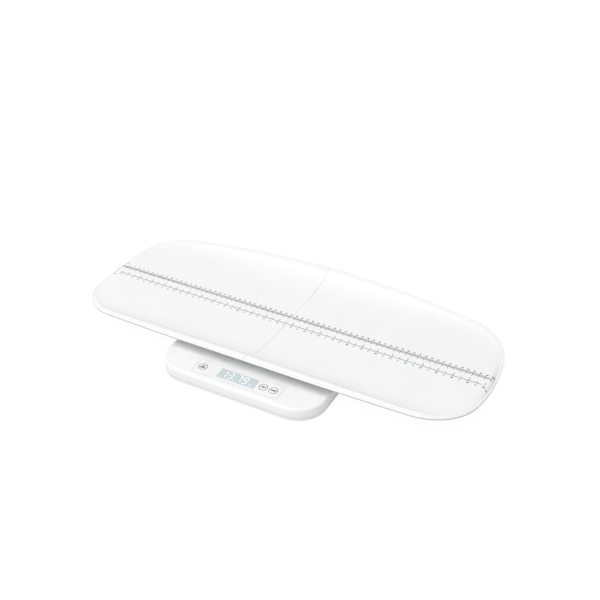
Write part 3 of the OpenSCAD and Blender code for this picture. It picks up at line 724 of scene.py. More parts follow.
@dataclass(frozen=True)
class TrayForm:
    """The tray's outline and rim, as the CAD has them."""

    length: float = 705.0
    depth: float = 300.0
    side_r: float = 2290.0
    end_r: float = 390.0
    corner_r: float = 90.0
    middle_y: float = 20.7
    floor_z: float = 35.3235
    wall_t: float = 3.0
    rim_h: float = 20.0
    rim_drop: float = 8.5
    rim_power: float = 1.7
    ease_from: float = 0.92
    end_share: float = 0.1
    flange_w: float = 9.0
    lip_w: float = 4.0
    wall_run: float = 20.0
    floor_inset: float = 90.0
    skirt_h: float = 4.2
    skirt_t: float = 2.2
    edge_r: float = 1.4
    groove_w: float = 5.2
    groove_h: float = 0.9
    groove_soft: float = 0.55
    bead_h: float = 0.35
    bead_reach: Point2 = (0.6, 0.8)
    dish_h: float = 0.3
    edge_slope: Point2 = (0.5, 1.6)
    floor_ease: float = 30.0
    trim_low: float = 0.3
    trim_high: float = 1.5
    trim_deep: float = 0.5
    seam: float = 0.3
    seam_soft: float = 0.3
    seam_reach: float = 0.7

    def stations(self, side: int, corner: int, end: int) -> list[Station]:
        """Return places along a quarter of the outline, from mid side to mid end.

        Args:
            side: Steps along the side arc.
            corner: Steps round the corner arc.
            end: Steps along the end arc.

        Returns:
            The stations in order.
        """
        side_cy = self.depth / 2 - self.side_r
        end_cx = self.length / 2 - self.end_r
        gap = math.hypot(end_cx, side_cy)
        side_reach = self.side_r - self.corner_r
        end_reach = self.end_r - self.corner_r
        along = (side_reach**2 - end_reach**2 + gap**2) / (2 * gap)
        across = math.sqrt(side_reach**2 - along**2)
        to_end = (end_cx / gap, -side_cy / gap)
        corner_c = (
            along * to_end[0] + across * to_end[1],
            side_cy + along * to_end[1] - across * to_end[0],
        )
        side_turn = math.atan2(corner_c[0], corner_c[1] - side_cy)
        end_turn = math.atan2(corner_c[0] - end_cx, corner_c[1])
        lengths = (
            self.side_r * side_turn,
            self.corner_r * (end_turn - side_turn),
            self.end_r * (math.pi / 2 - end_turn),
        )
        whole = sum(lengths)
        arcs = (
            ((0.0, side_cy), self.side_r, 0.0, side_turn, side),
            (corner_c, self.corner_r, side_turn, end_turn, corner),
            ((end_cx, 0.0), self.end_r, end_turn, math.pi / 2, end),
        )
        made: list[Station] = []
        passed = 0.0
        for (centre, radius, low, high, steps), length in zip(arcs, lengths):
            for i in range(0 if not made else 1, steps + 1):
                f = i / steps
                share = (passed + length * f) / whole
                made.append(Station(centre, radius, low + (high - low) * f, share))
            passed += length
        return made

    def fade(self, inset: float) -> float:
        """Return the rim height's share that is left at an inset of a full-width rim.

        Args:
            inset: The distance from the edge in millimetres.

        Returns:
            One on the flange and nought on the floor.
        """
        start = self.flange_w + self.lip_w
        fall = 1 / (2 * self.lip_w * self.wall_run + self.lip_w**2)
        if inset <= self.flange_w:
            return 1.0
        if inset <= start:
            return 1 - fall * (inset - self.flange_w) ** 2
        if inset >= self.floor_inset:
            return 0.0
        top = 1 - fall * self.lip_w**2
        left = math.exp(-(self.floor_inset - start) / self.wall_run)
        value = top * (math.exp(-(inset - start) / self.wall_run) - left) / (1 - left)
        ease = (self.floor_inset - inset) / self.floor_ease
        return value if ease >= 1 else value * (1 - (1 - ease) ** 3)

    def fall(self, share: float) -> float:
        """Return how far the rim has come down at a place, easing level at mid end.

        Args:
            share: The place along the quarter outline, from 0 to 1.

        Returns:
            The fall as a share of the whole.
        """
        start = self.ease_from
        if share <= start:
            return share**self.rim_power
        slope = self.rim_power * start ** (self.rim_power - 1)
        past = share - start
        return start**self.rim_power + slope * past * (1 - past / (2 * (1 - start)))

    def below_bead(self, inset: float) -> float:
        """Return how far the flange lies below the bead at its inner edge.

        Args:
            inset: The distance from the edge of a full-width rim in millimetres.

        Returns:
            The depth in millimetres.
        """
        foot = self.flange_w - self.bead_reach[0]
        crest = self.flange_w + self.bead_reach[1]
        if inset <= self.groove_w:
            return self.bead_h
        if inset <= foot:
            run = (inset - self.groove_w) / (foot - self.groove_w)
            return self.bead_h + self.dish_h * run
        left = max(0.0, (crest - inset) / (crest - foot))
        return (self.bead_h + self.dish_h) * left * left * (3 - 2 * left)

    def section(self, share: float, sunk: float = 0.0) -> list[Point2]:
        """Return one section across the rim: from the floor over the edge to the underside.

        Args:
            share: The place along the quarter outline, from 0 to 1.
            sunk: How far the top is lowered, in millimetres.

        Returns:
            Inset and height pairs in millimetres.
        """
        narrow = 1 - (1 - self.end_share) * share**2
        rise = self.rim_h - (self.rim_h + self.rim_drop) * self.fall(share)
        last = self.floor_inset * narrow
        flat = (last - self.edge_r) / self.floor_inset
        made: list[Point2] = []
        for w in TOP_INSETS:
            off = (w - self.groove_w) / self.groove_soft
            crease = self.groove_h * math.exp(-(off**2)) * narrow
            outer = max(0.0, (self.groove_w - w) / self.groove_w)
            slope = self.edge_slope[0] * narrow * outer ** self.edge_slope[1]
            z = self.floor_z + rise * self.fade(w) - crease - slope - sunk
            z -= self.below_bead(w) * narrow
            made.append((self.edge_r + w * flat, z))
        top = made[-1][1]
        for i in range(1, EDGE_STEPS + 1):
            a = math.pi / 2 * i / EDGE_STEPS
            made.append(
                (self.edge_r * (1 - math.sin(a)), top - self.edge_r * (1 - math.cos(a)))
            )
        low = self.floor_z + rise - self.skirt_h
        made += [(0.0, low + self.trim_high), (self.trim_deep, low + self.trim_high)]
        made += [(self.trim_deep, low + self.trim_low), (0.1, low + self.trim_low)]
        made += [(0.35, low), (self.skirt_t, low)]
        inner = self.skirt_t + 0.4
        for w in UNDER_INSETS:
            v = inner + (last - inner) * w / self.floor_inset
            z = self.floor_z + rise * self.fade(v / narrow) - self.wall_t
            made.append((v, z))
        return made


TOP_INSETS = (
    90, 85, 80, 75, 70, 65, 60, 55, 50.5, 46, 42, 38, 34.5, 31, 28, 25.5, 23, 21, 19, 17.2,
    15.6, 14.2, 13, 12, 11.2, 10.4, 9.8, 9.6, 9.3, 9.0, 8.7, 8.4, 8.0, 7.2, 6.6, 6.2, 5.85,
    5.5, 5.2, 4.9, 4.55, 4.2, 3.8, 3.2, 2.4, 1.6, 0.8, 0,
)
EDGE_STEPS = 6
QUARTER_STEPS = (56, 44, 14)
UNDER_INSETS = (0, 3, 6, 9, 12, 15, 18, 22, 27, 33, 40, 48, 57, 67, 78, 90)


class Side(Enum):
    """One half of the tray, and which way it reaches along X."""

    LEFT = -1
    RIGHT = 1

    @property
    def word(self) -> str:
        """Return the half's plain name."""
        return self.name.lower()


@dataclass
class Tray:
    """The two tray halves."""

    form: TrayForm = field(default_factory=TrayForm)
    halves: dict[Side, bpy.types.Object] = field(default_factory=dict)

    def half_mesh(self, side: Side) -> bpy.types.Mesh:
        """Build the closed shell of one half.

        Args:
            side: Which half.

        Returns:
            Its mesh.
        """
        form, end = self.form, side.value
        quarter = form.stations(*QUARTER_STEPS)
        first = quarter[0]
        near = replace(first, turn=form.seam_reach / first.radius)
        quarter.insert(1, near)
        rows = [(q, -end) for q in quarter] + [(q, end) for q in reversed(quarter[:-1])]
        points: list[Point3] = []
        for station, across in rows:
            sunk = form.seam_soft if station is first else 0.0
            for inset, z in form.section(station.share, sunk):
                x, y = station.at(inset)
                points.append(
                    (
                        end * (form.seam / 2 + x * (1 - form.seam / form.length)),
                        form.middle_y + across * y,
                        z,
                    )
                )
        n = len(rows)
        m = len(points) // n
        faces = [
            [j * m + i, (j + 1) * m + i, (j + 1) * m + i + 1, j * m + i + 1]
            for j in range(n - 1)
            for i in range(m - 1)
        ]
        faces.append([(n - 1 - j) * m for j in range(n)])
        faces.append([j * m + m - 1 for j in range(n)])
        faces.append(list(range(m)) + [(n - 1) * m + i for i in range(m - 1, -1, -1)])
        mesh = mesh_of("tray_" + side.word, points, faces, crease=40.0)
        # Slot 1, the painted groove shadow, goes on the two face rows inside the skirt's groove, so
        # the groove shows darker than its shape alone shades it.
        back = len(TOP_INSETS) + EDGE_STEPS + 1
        for face in mesh.polygons:
            if face.index < (n - 1) * (m - 1) and face.index % (m - 1) in (back, back + 1):
                face.material_index = 1
        return mesh

    def build(self) -> None:
        """Make both halves."""
        for side in Side:
            name = "tray_" + side.word
            # The second slot is the painted shadow grey of the skirt's groove.
            half = link(name + "_shell", self.half_mesh(side), TRAY_WHITE, GROOVE_SHADOW_GREY)
            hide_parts(name)
            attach(half, name)
            self.halves[side] = half
            report(half)


# Pitch (of the inch rows in inches), last stroke, Y from, Y to and width.
CM_ROWS = ((1.0, 690, 5.0, 9.9, 0.42), (5.0, 138, 3.8, 9.9, 0.5), (10.0, 69, 1.4, 9.9, 0.75))
INCH_ROWS = ((0.5, 54, -12.2, -6.8, 0.7), (1.0, 27, -12.2, -3.8, 0.85))


@dataclass
class Ruler:
    """The ruler printed along the tray's floor."""

    tray: Tray
    cm_zero: float = -344.5
    inch_zero: float = -344.75
    inch: float = 25.4
    lift: float = 0.05
    sink: float = 0.04
    bold: float = 0.16
    bar_clear: float = 0.85
    stroke_clear: float = 0.75
    bar_pieces: int = 40
    zero_low: float = -21.6
    zero_high: float = 18.0
    zero_width: float = 0.8
    zero_pieces: int = 24
    rows: TickRow = field(default_factory=TickRow)

    @property
    def middle_y(self) -> float:
        """Return the Y of the tray's middle, from which the ruler is measured."""
        return self.tray.form.middle_y

    def row(
        self, name: str, count: int, start: Point2, pitch: float, stroke: Point2
    ) -> bpy.types.Mesh:
        """Make one straight row of strokes along X.

        Args:
            name: The row's name.
            count: How many strokes it has.
            start: The middle of the first stroke, in millimetres.
            pitch: The distance between strokes.
            stroke: A stroke's size along X and Y.

        Returns:
            The row's mesh.
        """
        return self.rows.run(
            name,
            bpy.data.meshes.new("start"),
            Count=count,
            Start=Vector((*start, 0.0)) * MM,
            Pitch=pitch * MM,
            Stroke=Vector((*stroke, self.lift + self.sink)) * MM,
            Material=INK_RULER.material(),
        )

    def strokes(
        self,
        side: Side,
        zero: float,
        pitch: float,
        last: int,
        low: float,
        high: float,
        width: float,
    ) -> bpy.types.Mesh:
        """Make the strokes of one row that lie on one half of the tray.

        Args:
            side: Which half.
            zero: X of the first stroke of the whole row, in millimetres.
            pitch: The distance between strokes.
            last: The number of the whole row's last stroke.
            low: Where the strokes start, in Y from the tray's middle.
            high: Where they end.
            width: A stroke's width.

        Returns:
            The row's mesh.
        """
        clear = self.tray.form.seam / 2 + width / 2 + self.stroke_clear
        mine = [i for i in range(last + 1) if side.value * (zero + i * pitch) > clear]
        start = (zero + mine[0] * pitch, self.middle_y + (low + high) / 2)
        return self.row("strokes", len(mine), start, pitch, (width, high - low))

    def bar(self, side: Side, zero: float, end: float, y: float, width: float) -> bpy.types.Mesh:
        """Make the part of a long line that lies on one half, in short lengths.

        Args:
            side: Which half.
            zero: X where the whole line starts.
            end: X where it ends.
            y: The line's place in Y from the tray's middle.
            width: The line's width.

        Returns:
            The line's mesh.
        """
        seam = side.value * (self.tray.form.seam / 2 + self.bar_clear)
        low, high = (zero, seam) if side is Side.LEFT else (seam, end)
        piece = (high - low) / self.bar_pieces
        start = (low + piece / 2, self.middle_y + y)
        return self.row("bar", self.bar_pieces, start, piece, (piece, width))

    def zero_line(self) -> bpy.types.Mesh:
        """Make the line across the ruler where both scales start.

        Returns:
            The line's mesh, in short lengths.
        """
        piece = (self.zero_high - self.zero_low) / self.zero_pieces
        start = (self.zero_low + piece / 2, 0.0)
        line = self.row("zero", self.zero_pieces, start, piece, (piece, self.zero_width))
        line.transform(Matrix.Rotation(math.pi / 2, 4, "Z"))
        return moved(line, self.cm_zero, self.middle_y, 0.0)

    def drape(self, mesh: bpy.types.Mesh, side: Side) -> None:
        """Lay a flat print on the half that carries it.

        Args:
            mesh: The print, with its middle or underside near z = 0.
            side: The half that carries it.
        """
        half = self.tray.halves[side].data
        tree = BVHTree.FromPolygons(
            [v.co.copy() for v in half.vertices], [tuple(p.vertices) for p in half.polygons]
        )
        heights = [v.co.z for v in mesh.vertices]
        low, high = min(heights), max(heights)
        flat = self.tray.form.floor_z * MM
        for vert in mesh.vertices:
            hit = tree.ray_cast(Vector((vert.co.x, vert.co.y, 1.0)), Vector((0, 0, -1)))[0]
            ground = hit.z if hit is not None else flat
            top = vert.co.z > (low + high) / 2
            vert.co.z = ground + (self.lift if top else -self.sink) * MM

    def numbers(self, side: Side) -> bpy.types.Mesh:
        """Make the numbers of both scales that lie on one half.

        Args:
            side: Which half.

        Returns:
            One mesh with all of them.
        """
        thick = self.lift + self.sink
        labels: list[tuple[str, float, float, float]] = []
        labels += [(str(i), self.cm_zero + 10 * i + 1.0, 13.9, 2.8) for i in range(1, 70)]
        labels += [(str(i), self.inch_zero + self.inch * i, -16.5, 3.2) for i in range(1, 28)]
        labels += [
            ("½", self.inch_zero + self.inch * (i + 0.5), -16.9, 2.6) for i in range(27)
        ]
        labels += [("cm", self.cm_zero + 4.2, 17.7, 2.6), ("cm", self.cm_zero + 690.8, 15.6, 3.0)]
        labels += [
            ("in", self.inch_zero + 3.2, -20.9, 2.6),
            ("in", self.inch_zero + 27 * self.inch + 5.6, -19.7, 3.0),
        ]
        made = [
            print_words(words, size, x, self.middle_y + y, thick, bold=self.bold)
            for words, x, y, size in labels
            if side.value * x > 0
        ]
        return joined("numbers", made)

    def build(self) -> None:
        """Print both scales on both halves."""
        for side in Side:
            half = "tray_" + side.word
            cm, inch = self.cm_zero, self.inch_zero
            parts = [self.strokes(side, cm, *row) for row in CM_ROWS]
            parts += [
                self.strokes(side, inch, self.inch * pitch, *row) for pitch, *row in INCH_ROWS
            ]
            parts += [
                self.bar(side, cm, cm + 690, 9.8, 0.5),
                self.bar(side, inch, inch + 27 * self.inch, -11.6, 1.1),
            ]
            if side is Side.LEFT:
                parts.append(self.zero_line())
            lines = joined("ruler_lines_" + side.word, parts)
            self.drape(lines, side)
            figures = self.numbers(side)
            self.drape(figures, side)
            for name, mesh, ink in (
                ("ruler_lines_" + side.word, lines, INK_RULER),
                ("ruler_numbers_" + side.word, figures, INK_NUMBER),
            ):
                print_ = link(name, mesh, ink)
                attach(print_, half)
                report(print_)


# --------------------------------------------------------------------------
# Base
# --------------------------------------------------------------------------


@dataclass(frozen=True)
class BaseForm:
    """The base's plan, levels and panel, as the CAD has them."""

    width: float = 283.0
    depth: float = 290.0
    corner_r: float = 48.0
    front_y: float = -170.7
    cover_top: float = 11.4
    side_top: float = 23.4
    shell_t: float = 2.4
    gap_d: float = 0.7
    edge_r: float = 4.0
    tilt: float = math.radians(2.5)
    apron_w: float = 48.0
    crown_run: float = 32.0
    panel_inset: float = 9.9
    panel_w: float = 151.0
    panel_d: float = 32.6
    overlay_t: float = 0.6
    lcd_w: float = 66.2
    lcd_d: float = 21.0
    window_t: float = 1.2
    ledge: float = 1.5
    button_d: float = 12.4
    button_gap: float = 0.3
    button_x: tuple[float, float, float] = (-63.2, 44.8, 62.0)
    post_r: float = 9.0
    post_gap: float = 0.4
    socket_depth: float = 7.0
    socket_t: float = 2.2
    socket_x: float = 98.0
    socket_y: tuple[float, float] = (-34.3, 75.7)

    @property
    def middle_y(self) -> float:
        """Return the Y of the base's middle."""
        return self.front_y + self.depth / 2

    @property
    def fillet_w(self) -> float:
        """Return the width that the top edge's rounding takes."""
        return self.edge_r * (1 - math.sin(self.tilt))

    @property
    def crown_z(self) -> float:
        """Return the height of the flat crown."""
        return self.top(self.apron_w + self.crown_run)

    def top(self, inset: float) -> float:
        """Return the height of the shell's top at an inset from its outline.

        Args:
            inset: The distance from the outline in millimetres.

        Returns:
            The height in millimetres.
        """
        slope = math.tan(self.tilt)
        start = self.side_top + self.edge_r * math.cos(self.tilt)
        if inset < self.fillet_w:
            return self.side_top + math.sqrt(self.edge_r**2 - (self.edge_r - inset) ** 2)
        if inset < self.apron_w:
            return start + (inset - self.fillet_w) * slope
        end = start + (self.apron_w - self.fillet_w) * slope
        past = min(inset - self.apron_w, self.crown_run)
        return end + past * slope * (1 - past / (2 * self.crown_run))

    def panel(self) -> Matrix:
        """Return the panel's own frame: its middle on the surface, Z outwards.

        Returns:
            A matrix in metres.
        """
        inset = self.panel_inset + self.panel_d / 2 * math.cos(self.tilt)
        place = Vector((0.0, self.front_y + inset, self.top(inset))) * MM
        return Matrix.Translation(place) @ Matrix.Rotation(self.tilt, 4, "X")


@dataclass
class Base:
    """The base's top shell."""

    form: BaseForm = field(default_factory=BaseForm)
    steps: int = 28

    def ring(self, inset: float, z: float) -> list[Point3]:
        """Return one ring round the shell.

        Args:
            inset: The distance from the outline in millimetres.
            z: The ring's height.

        Returns:
            The ring's points.
        """
        form = self.form
        even = form.edge_r + 1
        if inset <= even:
            r = form.corner_r - inset
        else:
            r = form.corner_r - even - (inset - even) / 2
        x, y = form.width / 2 - inset - r, form.depth / 2 - inset - r
        made: list[Point3] = []
        for cx, cy, start in ((x, y, 0), (-x, y, 90), (-x, -y, 180), (x, -y, 270)):
            for i in range(self.steps + 1):
                a = math.radians(start + 90 * i / self.steps)
                made.append((cx + r * math.cos(a), form.middle_y + cy + r * math.sin(a), z))
        return made

    def skin(self) -> bpy.types.Mesh:
        """Build the top shell's closed skin, before its openings.

        Returns:
            The skin's mesh.
        """
        form = self.form
        t = form.shell_t
        crown = [form.apron_w + form.crown_run * i / 12 for i in range(12, -1, -1)]
        apron = [40.0, 32.0, 24.0, 16.0, 9.0]
        turns = [90 - math.degrees(form.tilt), 77, 66, 55, 44, 33, 22, 11, 0]
        rings = [self.ring(w, form.top(w)) for w in crown + apron]
        rings += [
            self.ring(
                form.edge_r * (1 - math.cos(math.radians(a))),
                form.side_top + form.edge_r * math.sin(math.radians(a)),
            )
            for a in turns
        ]
        low = form.cover_top
        rings += [self.ring(0.0, low + 1.35), self.ring(0.12, low + 1.2)]
        rings += [self.ring(form.gap_d, low + 1.15), self.ring(form.gap_d, low)]
        rings += [self.ring(t, low)]
        rings += [self.ring(w, form.top(w) - t) for w in (t, t + 1.4, 7, 14, 30)]
        rings += [self.ring(w, form.top(w) - t) for w in reversed(crown)]
        m = len(rings[0])
        points = [p for ring in rings for p in ring]
        faces = [
            [j * m + i, j * m + (i + 1) % m, (j + 1) * m + (i + 1) % m, (j + 1) * m + i]
            for j in range(len(rings) - 1)
            for i in range(m)
        ]
        faces.append(list(range(m)))
        faces.append([(len(rings) - 1) * m + i for i in range(m)])
        return mesh_of("base_skin", points, faces)

    def build(self) -> None:
        """Build the top shell with its panel recess, holes and sockets."""
        form = self.form
        deep = 5.0
        panel_cuts = [
            block((-form.panel_w / 2, -form.panel_d / 2, -form.overlay_t),
                  (form.panel_w / 2, form.panel_d / 2, deep)),
            block((-form.lcd_w / 2, -form.lcd_d / 2, -form.window_t),
                  (form.lcd_w / 2, form.lcd_d / 2, deep - 1)),
            block((form.ledge - form.lcd_w / 2, form.ledge - form.lcd_d / 2, -deep),
                  (form.lcd_w / 2 - form.ledge, form.lcd_d / 2 - form.ledge, deep - 2)),
        ]
        hole = form.button_d / 2 + form.button_gap
        for x in form.button_x:
            rod = lathe("rod", [(0, -deep), (hole, -deep), (hole, deep - 3), (0, deep - 3)])
            panel_cuts.append(moved(rod, x, 0, 0))
        for tool in panel_cuts:
            tool.transform(form.panel())
        shell = self.skin()
        floor_z = form.crown_z - form.socket_depth
        cup_r = form.post_r + form.post_gap
        for tool in panel_cuts:
            shell = cut(shell, tool)
        cups: list[bpy.types.Mesh] = []
        for x in (-form.socket_x, form.socket_x):
            for y in form.socket_y:
                well = lathe("well", [(0, floor_z), (cup_r, floor_z), (cup_r, 60), (0, 60)])
                shell = cut(shell, moved(well, x, y, 0))
                outer = cup_r + form.socket_t
                top = form.crown_z - form.shell_t - 0.05
                cup = lathe(
                    "cup",
                    [
                        (0, floor_z - form.socket_t), (outer, floor_z - form.socket_t),
                        (outer, top), (cup_r, top), (cup_r, floor_z), (0, floor_z),
                    ],
                )
                cups.append(moved(cup, x, y, 0))
        whole = joined("base_top", [shell, *cups])
        made = link("base_casing_top", whole, BASE_WHITE)
        whole.set_sharp_from_angle(angle=math.radians(CREASE))
        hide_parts("base_top_shell")
        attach(made, "base")
        report(made)


def smooth_copy(node: str, finish: Finish, body: str, crease: float = 28.0) -> None:
    """Stand a smoothly shaded copy in for a CAD node with round faces.

    Args:
        node: The CAD node.
        finish: The copy's finish.
        body: The body that it rides on.
        crease: Edges that turn by more than this many degrees stay sharp.
    """
    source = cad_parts[node]
    work = bmesh.new()
    work.from_mesh(source.data)
    bmesh.ops.remove_doubles(work, verts=work.verts, dist=1e-6)
    bmesh.ops.dissolve_degenerate(work, edges=work.edges, dist=1e-7)
    for face in work.faces:
        face.smooth = True
    mesh = bpy.data.meshes.new(node)
    work.to_mesh(mesh)
    work.free()
    stored = mesh.attributes.get("custom_normal")
    if stored is not None:
        mesh.attributes.remove(stored)
    mesh.set_sharp_from_angle(angle=math.radians(crease))
    made = link(node + "_smooth", mesh, finish)
    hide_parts(node)
    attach(made, body)
    report(made)


# --------------------------------------------------------------------------
# Panel
# --------------------------------------------------------------------------

SEGMENTS = {
    "0": "abcdef", "1": "bc", "2": "abged", "3": "abgcd", "4": "fgbc",
    "5": "afgcd", "6": "afgedc", "7": "abc", "8": "abcdefg", "9": "abcdfg",
}


@dataclass
class Panel:
    """The display, the printed marks and the three buttons."""

    form: BaseForm = field(default_factory=BaseForm)
    reading: str = "13.79"
    digit_h: float = 14.4
    digit_w: float = 6.4
    digit_pitch: float = 10.9
    stroke: float = 1.9
    lean: float = 0.05
    lit_t: float = 0.08
    mark_t: float = 0.05
    ring_w: float = 0.62
    proud: float = 0.5
    stem_end: float = -5.0

    def segment(self, letter: str, x: float) -> bpy.types.Mesh:
        """Make one lit bar of a digit, with pointed ends.

        Args:
            letter: The bar's letter, from a at the top round to f, and g across.
            x: The digit's left edge in millimetres.

        Returns:
            The bar's mesh, flat on z = 0.
        """
        w, h, t = self.digit_w, self.digit_h, self.stroke
        ends = {
            "a": ((0, h), (w, h)), "b": ((w, h), (w, h / 2)), "c": ((w, h / 2), (w, 0)),
            "d": ((0, 0), (w, 0)), "e": ((0, h / 2), (0, 0)), "f": ((0, h), (0, h / 2)),
            "g": ((0, h / 2), (w, h / 2)),
        }[letter]
        a, b = Vector(ends[0]), Vector(ends[1])
        along = (b - a).normalized()
        side = Vector((-along.y, along.x)) * t / 2
        a, b = a + along * 0.25, b - along * 0.25
        inner = along * t / 2
        ring = [a, a + inner + side, b - inner + side, b, b - inner - side, a + inner - side]
        points = [
            (x + p.x - w / 2 + self.lean * p.y, p.y - h / 2, z)
            for z in (0.0, self.lit_t)
            for p in ring
        ]
        faces = [[5, 4, 3, 2, 1, 0], [6, 7, 8, 9, 10, 11]]
        faces += [[i, (i + 1) % 6, (i + 1) % 6 + 6, i + 6] for i in range(6)]
        return mesh_of("segment", points, faces)

    def digits(self) -> bpy.types.Mesh:
        """Make the lit reading and its small unit.

        Returns:
            The reading's mesh, in the panel's frame.
        """
        parts: list[bpy.types.Mesh] = []
        x = -24.0
        for sign in self.reading:
            if sign == ".":
                low = -self.digit_h / 2 - self.stroke / 2
                spot = x - self.digit_pitch / 2 + 1.3
                parts.append(block((spot, low, 0), (spot + 1.7, low + 1.7, self.lit_t)))
                x += 4.1
                continue
            parts += [self.segment(letter, x) for letter in SEGMENTS[sign]]
            x += self.digit_pitch
        parts.append(print_words("kg", 3.6, x - 0.3, -5.4, self.lit_t))
        made = joined("reading", parts)
        return moved(made, 0, 0.6, -0.02)

    def display(self) -> None:
        """Build the window, the display's face and its reading."""
        form = self.form
        dress_node("lcd_window", WINDOW_CLEAR)
        dress_node("lcd_glass", DISPLAY_FACE)
        reading = self.digits()
        reading.transform(form.panel())
        made = link("display_reading", reading, DIGIT_WHITE)
        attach(made, "base")
        report(made)

    def ring_print(self, x: float) -> bpy.types.Mesh:
        """Make the thin printed ring round a button.

        Args:
            x: The button's place along the panel.

        Returns:
            The ring's mesh, in the panel's frame.
        """
        inner = self.form.button_d / 2 + self.form.button_gap + 0.02
        outer = inner + self.ring_w
        low, high = -0.02, 0.05
        outline = [(inner, low), (outer, low), (outer, high), (inner, high), (inner, low)]
        ring = lathe("ring", outline)
        return moved(ring, x, 0, 0)

    def prints(self) -> None:
        """Build the printed rings and the overlay's thin border."""
        form = self.form
        w, d, t = form.panel_w / 2 - 0.35, form.panel_d / 2 - 0.35, 0.3
        border = [
            block((-w, d - t, -0.02), (w, d, 0.04)),
            block((-w, -d, -0.02), (w, -d + t, 0.04)),
            block((-w, -d + t, -0.02), (-w + t, d - t, 0.04)),
            block((w - t, -d + t, -0.02), (w, d - t, 0.04)),
        ]
        edge = joined("border", border)
        edge.transform(form.panel())
        line = link("panel_border", edge, INK_PALE)
        rings = joined("rings", [self.ring_print(x) for x in form.button_x])
        rings.transform(form.panel())
        marks = link("panel_rings", rings, INK_PANEL)
        for piece in (line, marks):
            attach(piece, "base")
            report(piece)

    def button_mark(self, key: str) -> bpy.types.Mesh:
        """Make the plain mark on a button's cap.

        Args:
            key: Which button.

        Returns:
            The mark's mesh, its underside at z = 0.
        """
        if key == "unit":
            return print_words("UNIT", 2.5, 0, 0, self.mark_t, bold=0.26)
        if key == "tare":
            return print_words("TARE", 2.7, 0, 0, self.mark_t, bold=0.28)
        arc = 40
        r, t = 1.8, 0.95
        points: list[Point3] = []
        for i in range(arc + 1):
            a = math.radians(125 + 290 * i / arc)
            for radius in (r - t / 2, r + t / 2):
                for z in (0.0, self.mark_t):
                    points.append((radius * math.cos(a), 2.0 + radius * math.sin(a), z))
        faces: list[list[int]] = []
        for i in range(arc):
            a, b = i * 4, i * 4 + 4
            faces += [[a, b, b + 1, a + 1], [a + 2, a + 3, b + 3, b + 2]]
            faces += [[a, a + 2, b + 2, b], [a + 1, b + 1, b + 3, a + 3]]
        faces += [[0, 1, 3, 2], [arc * 4, arc * 4 + 2, arc * 4 + 3, arc * 4 + 1]]
        symbol = mesh_of("symbol", points, faces)
        stem = block((-t / 2, 2.2, 0), (t / 2, 4.3, self.mark_t))
        words = print_words("ON/OFF", 2.2, 0, -2.3, self.mark_t, bold=0.28)
        return joined("mark", [symbol, stem, words])

    def button(self, key: str, x: float) -> None:
        """Build one button: a softly dished cap with its mark.

        Args:
            key: Which button.
            x: Its place along the panel.
        """
        form = self.form
        r, h = form.button_d / 2, self.proud
        under = -form.shell_t - 0.3
        flange = r + 0.9
        outline = [
            (0, self.stem_end), (2.2, self.stem_end), (2.2, under - 1.2), (flange, under - 1.2),
            (flange, under), (r, under), (r, h - 0.5),
        ]
        outline += [
            (r - 0.5 + 0.5 * math.cos(math.radians(a)), h - 0.5 + 0.5 * math.sin(math.radians(a)))
            for a in (15, 30, 45, 60, 75, 90)
        ]
        outline += [(r * f, h - 0.12 * (1 - f * f)) for f in (0.85, 0.7, 0.5, 0.3, 0.12)]
        outline.append((0, h - 0.12))
        cap = moved(lathe("cap", outline, steps=72), x, 0, 0)
        cap.transform(form.panel())
        body = "button_" + key
        made = link(body + "_cap", cap, BUTTON_WHITE)
        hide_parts(body)
        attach(made, body)
        mark = moved(self.button_mark(key), x, 0, h - 0.1)
        mark.transform(form.panel())
        label = link(body + "_mark", mark, INK_PANEL)
        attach(label, body)
        report(made)
        report(label)

    def build(self) -> None:
        """Build everything on the panel."""
        self.display()
        self.prints()
        for key, x in zip(BUTTON_KEYS, self.form.button_x):
            self.button(key, x)


# --------------------------------------------------------------------------
# Underside and inside
# --------------------------------------------------------------------------


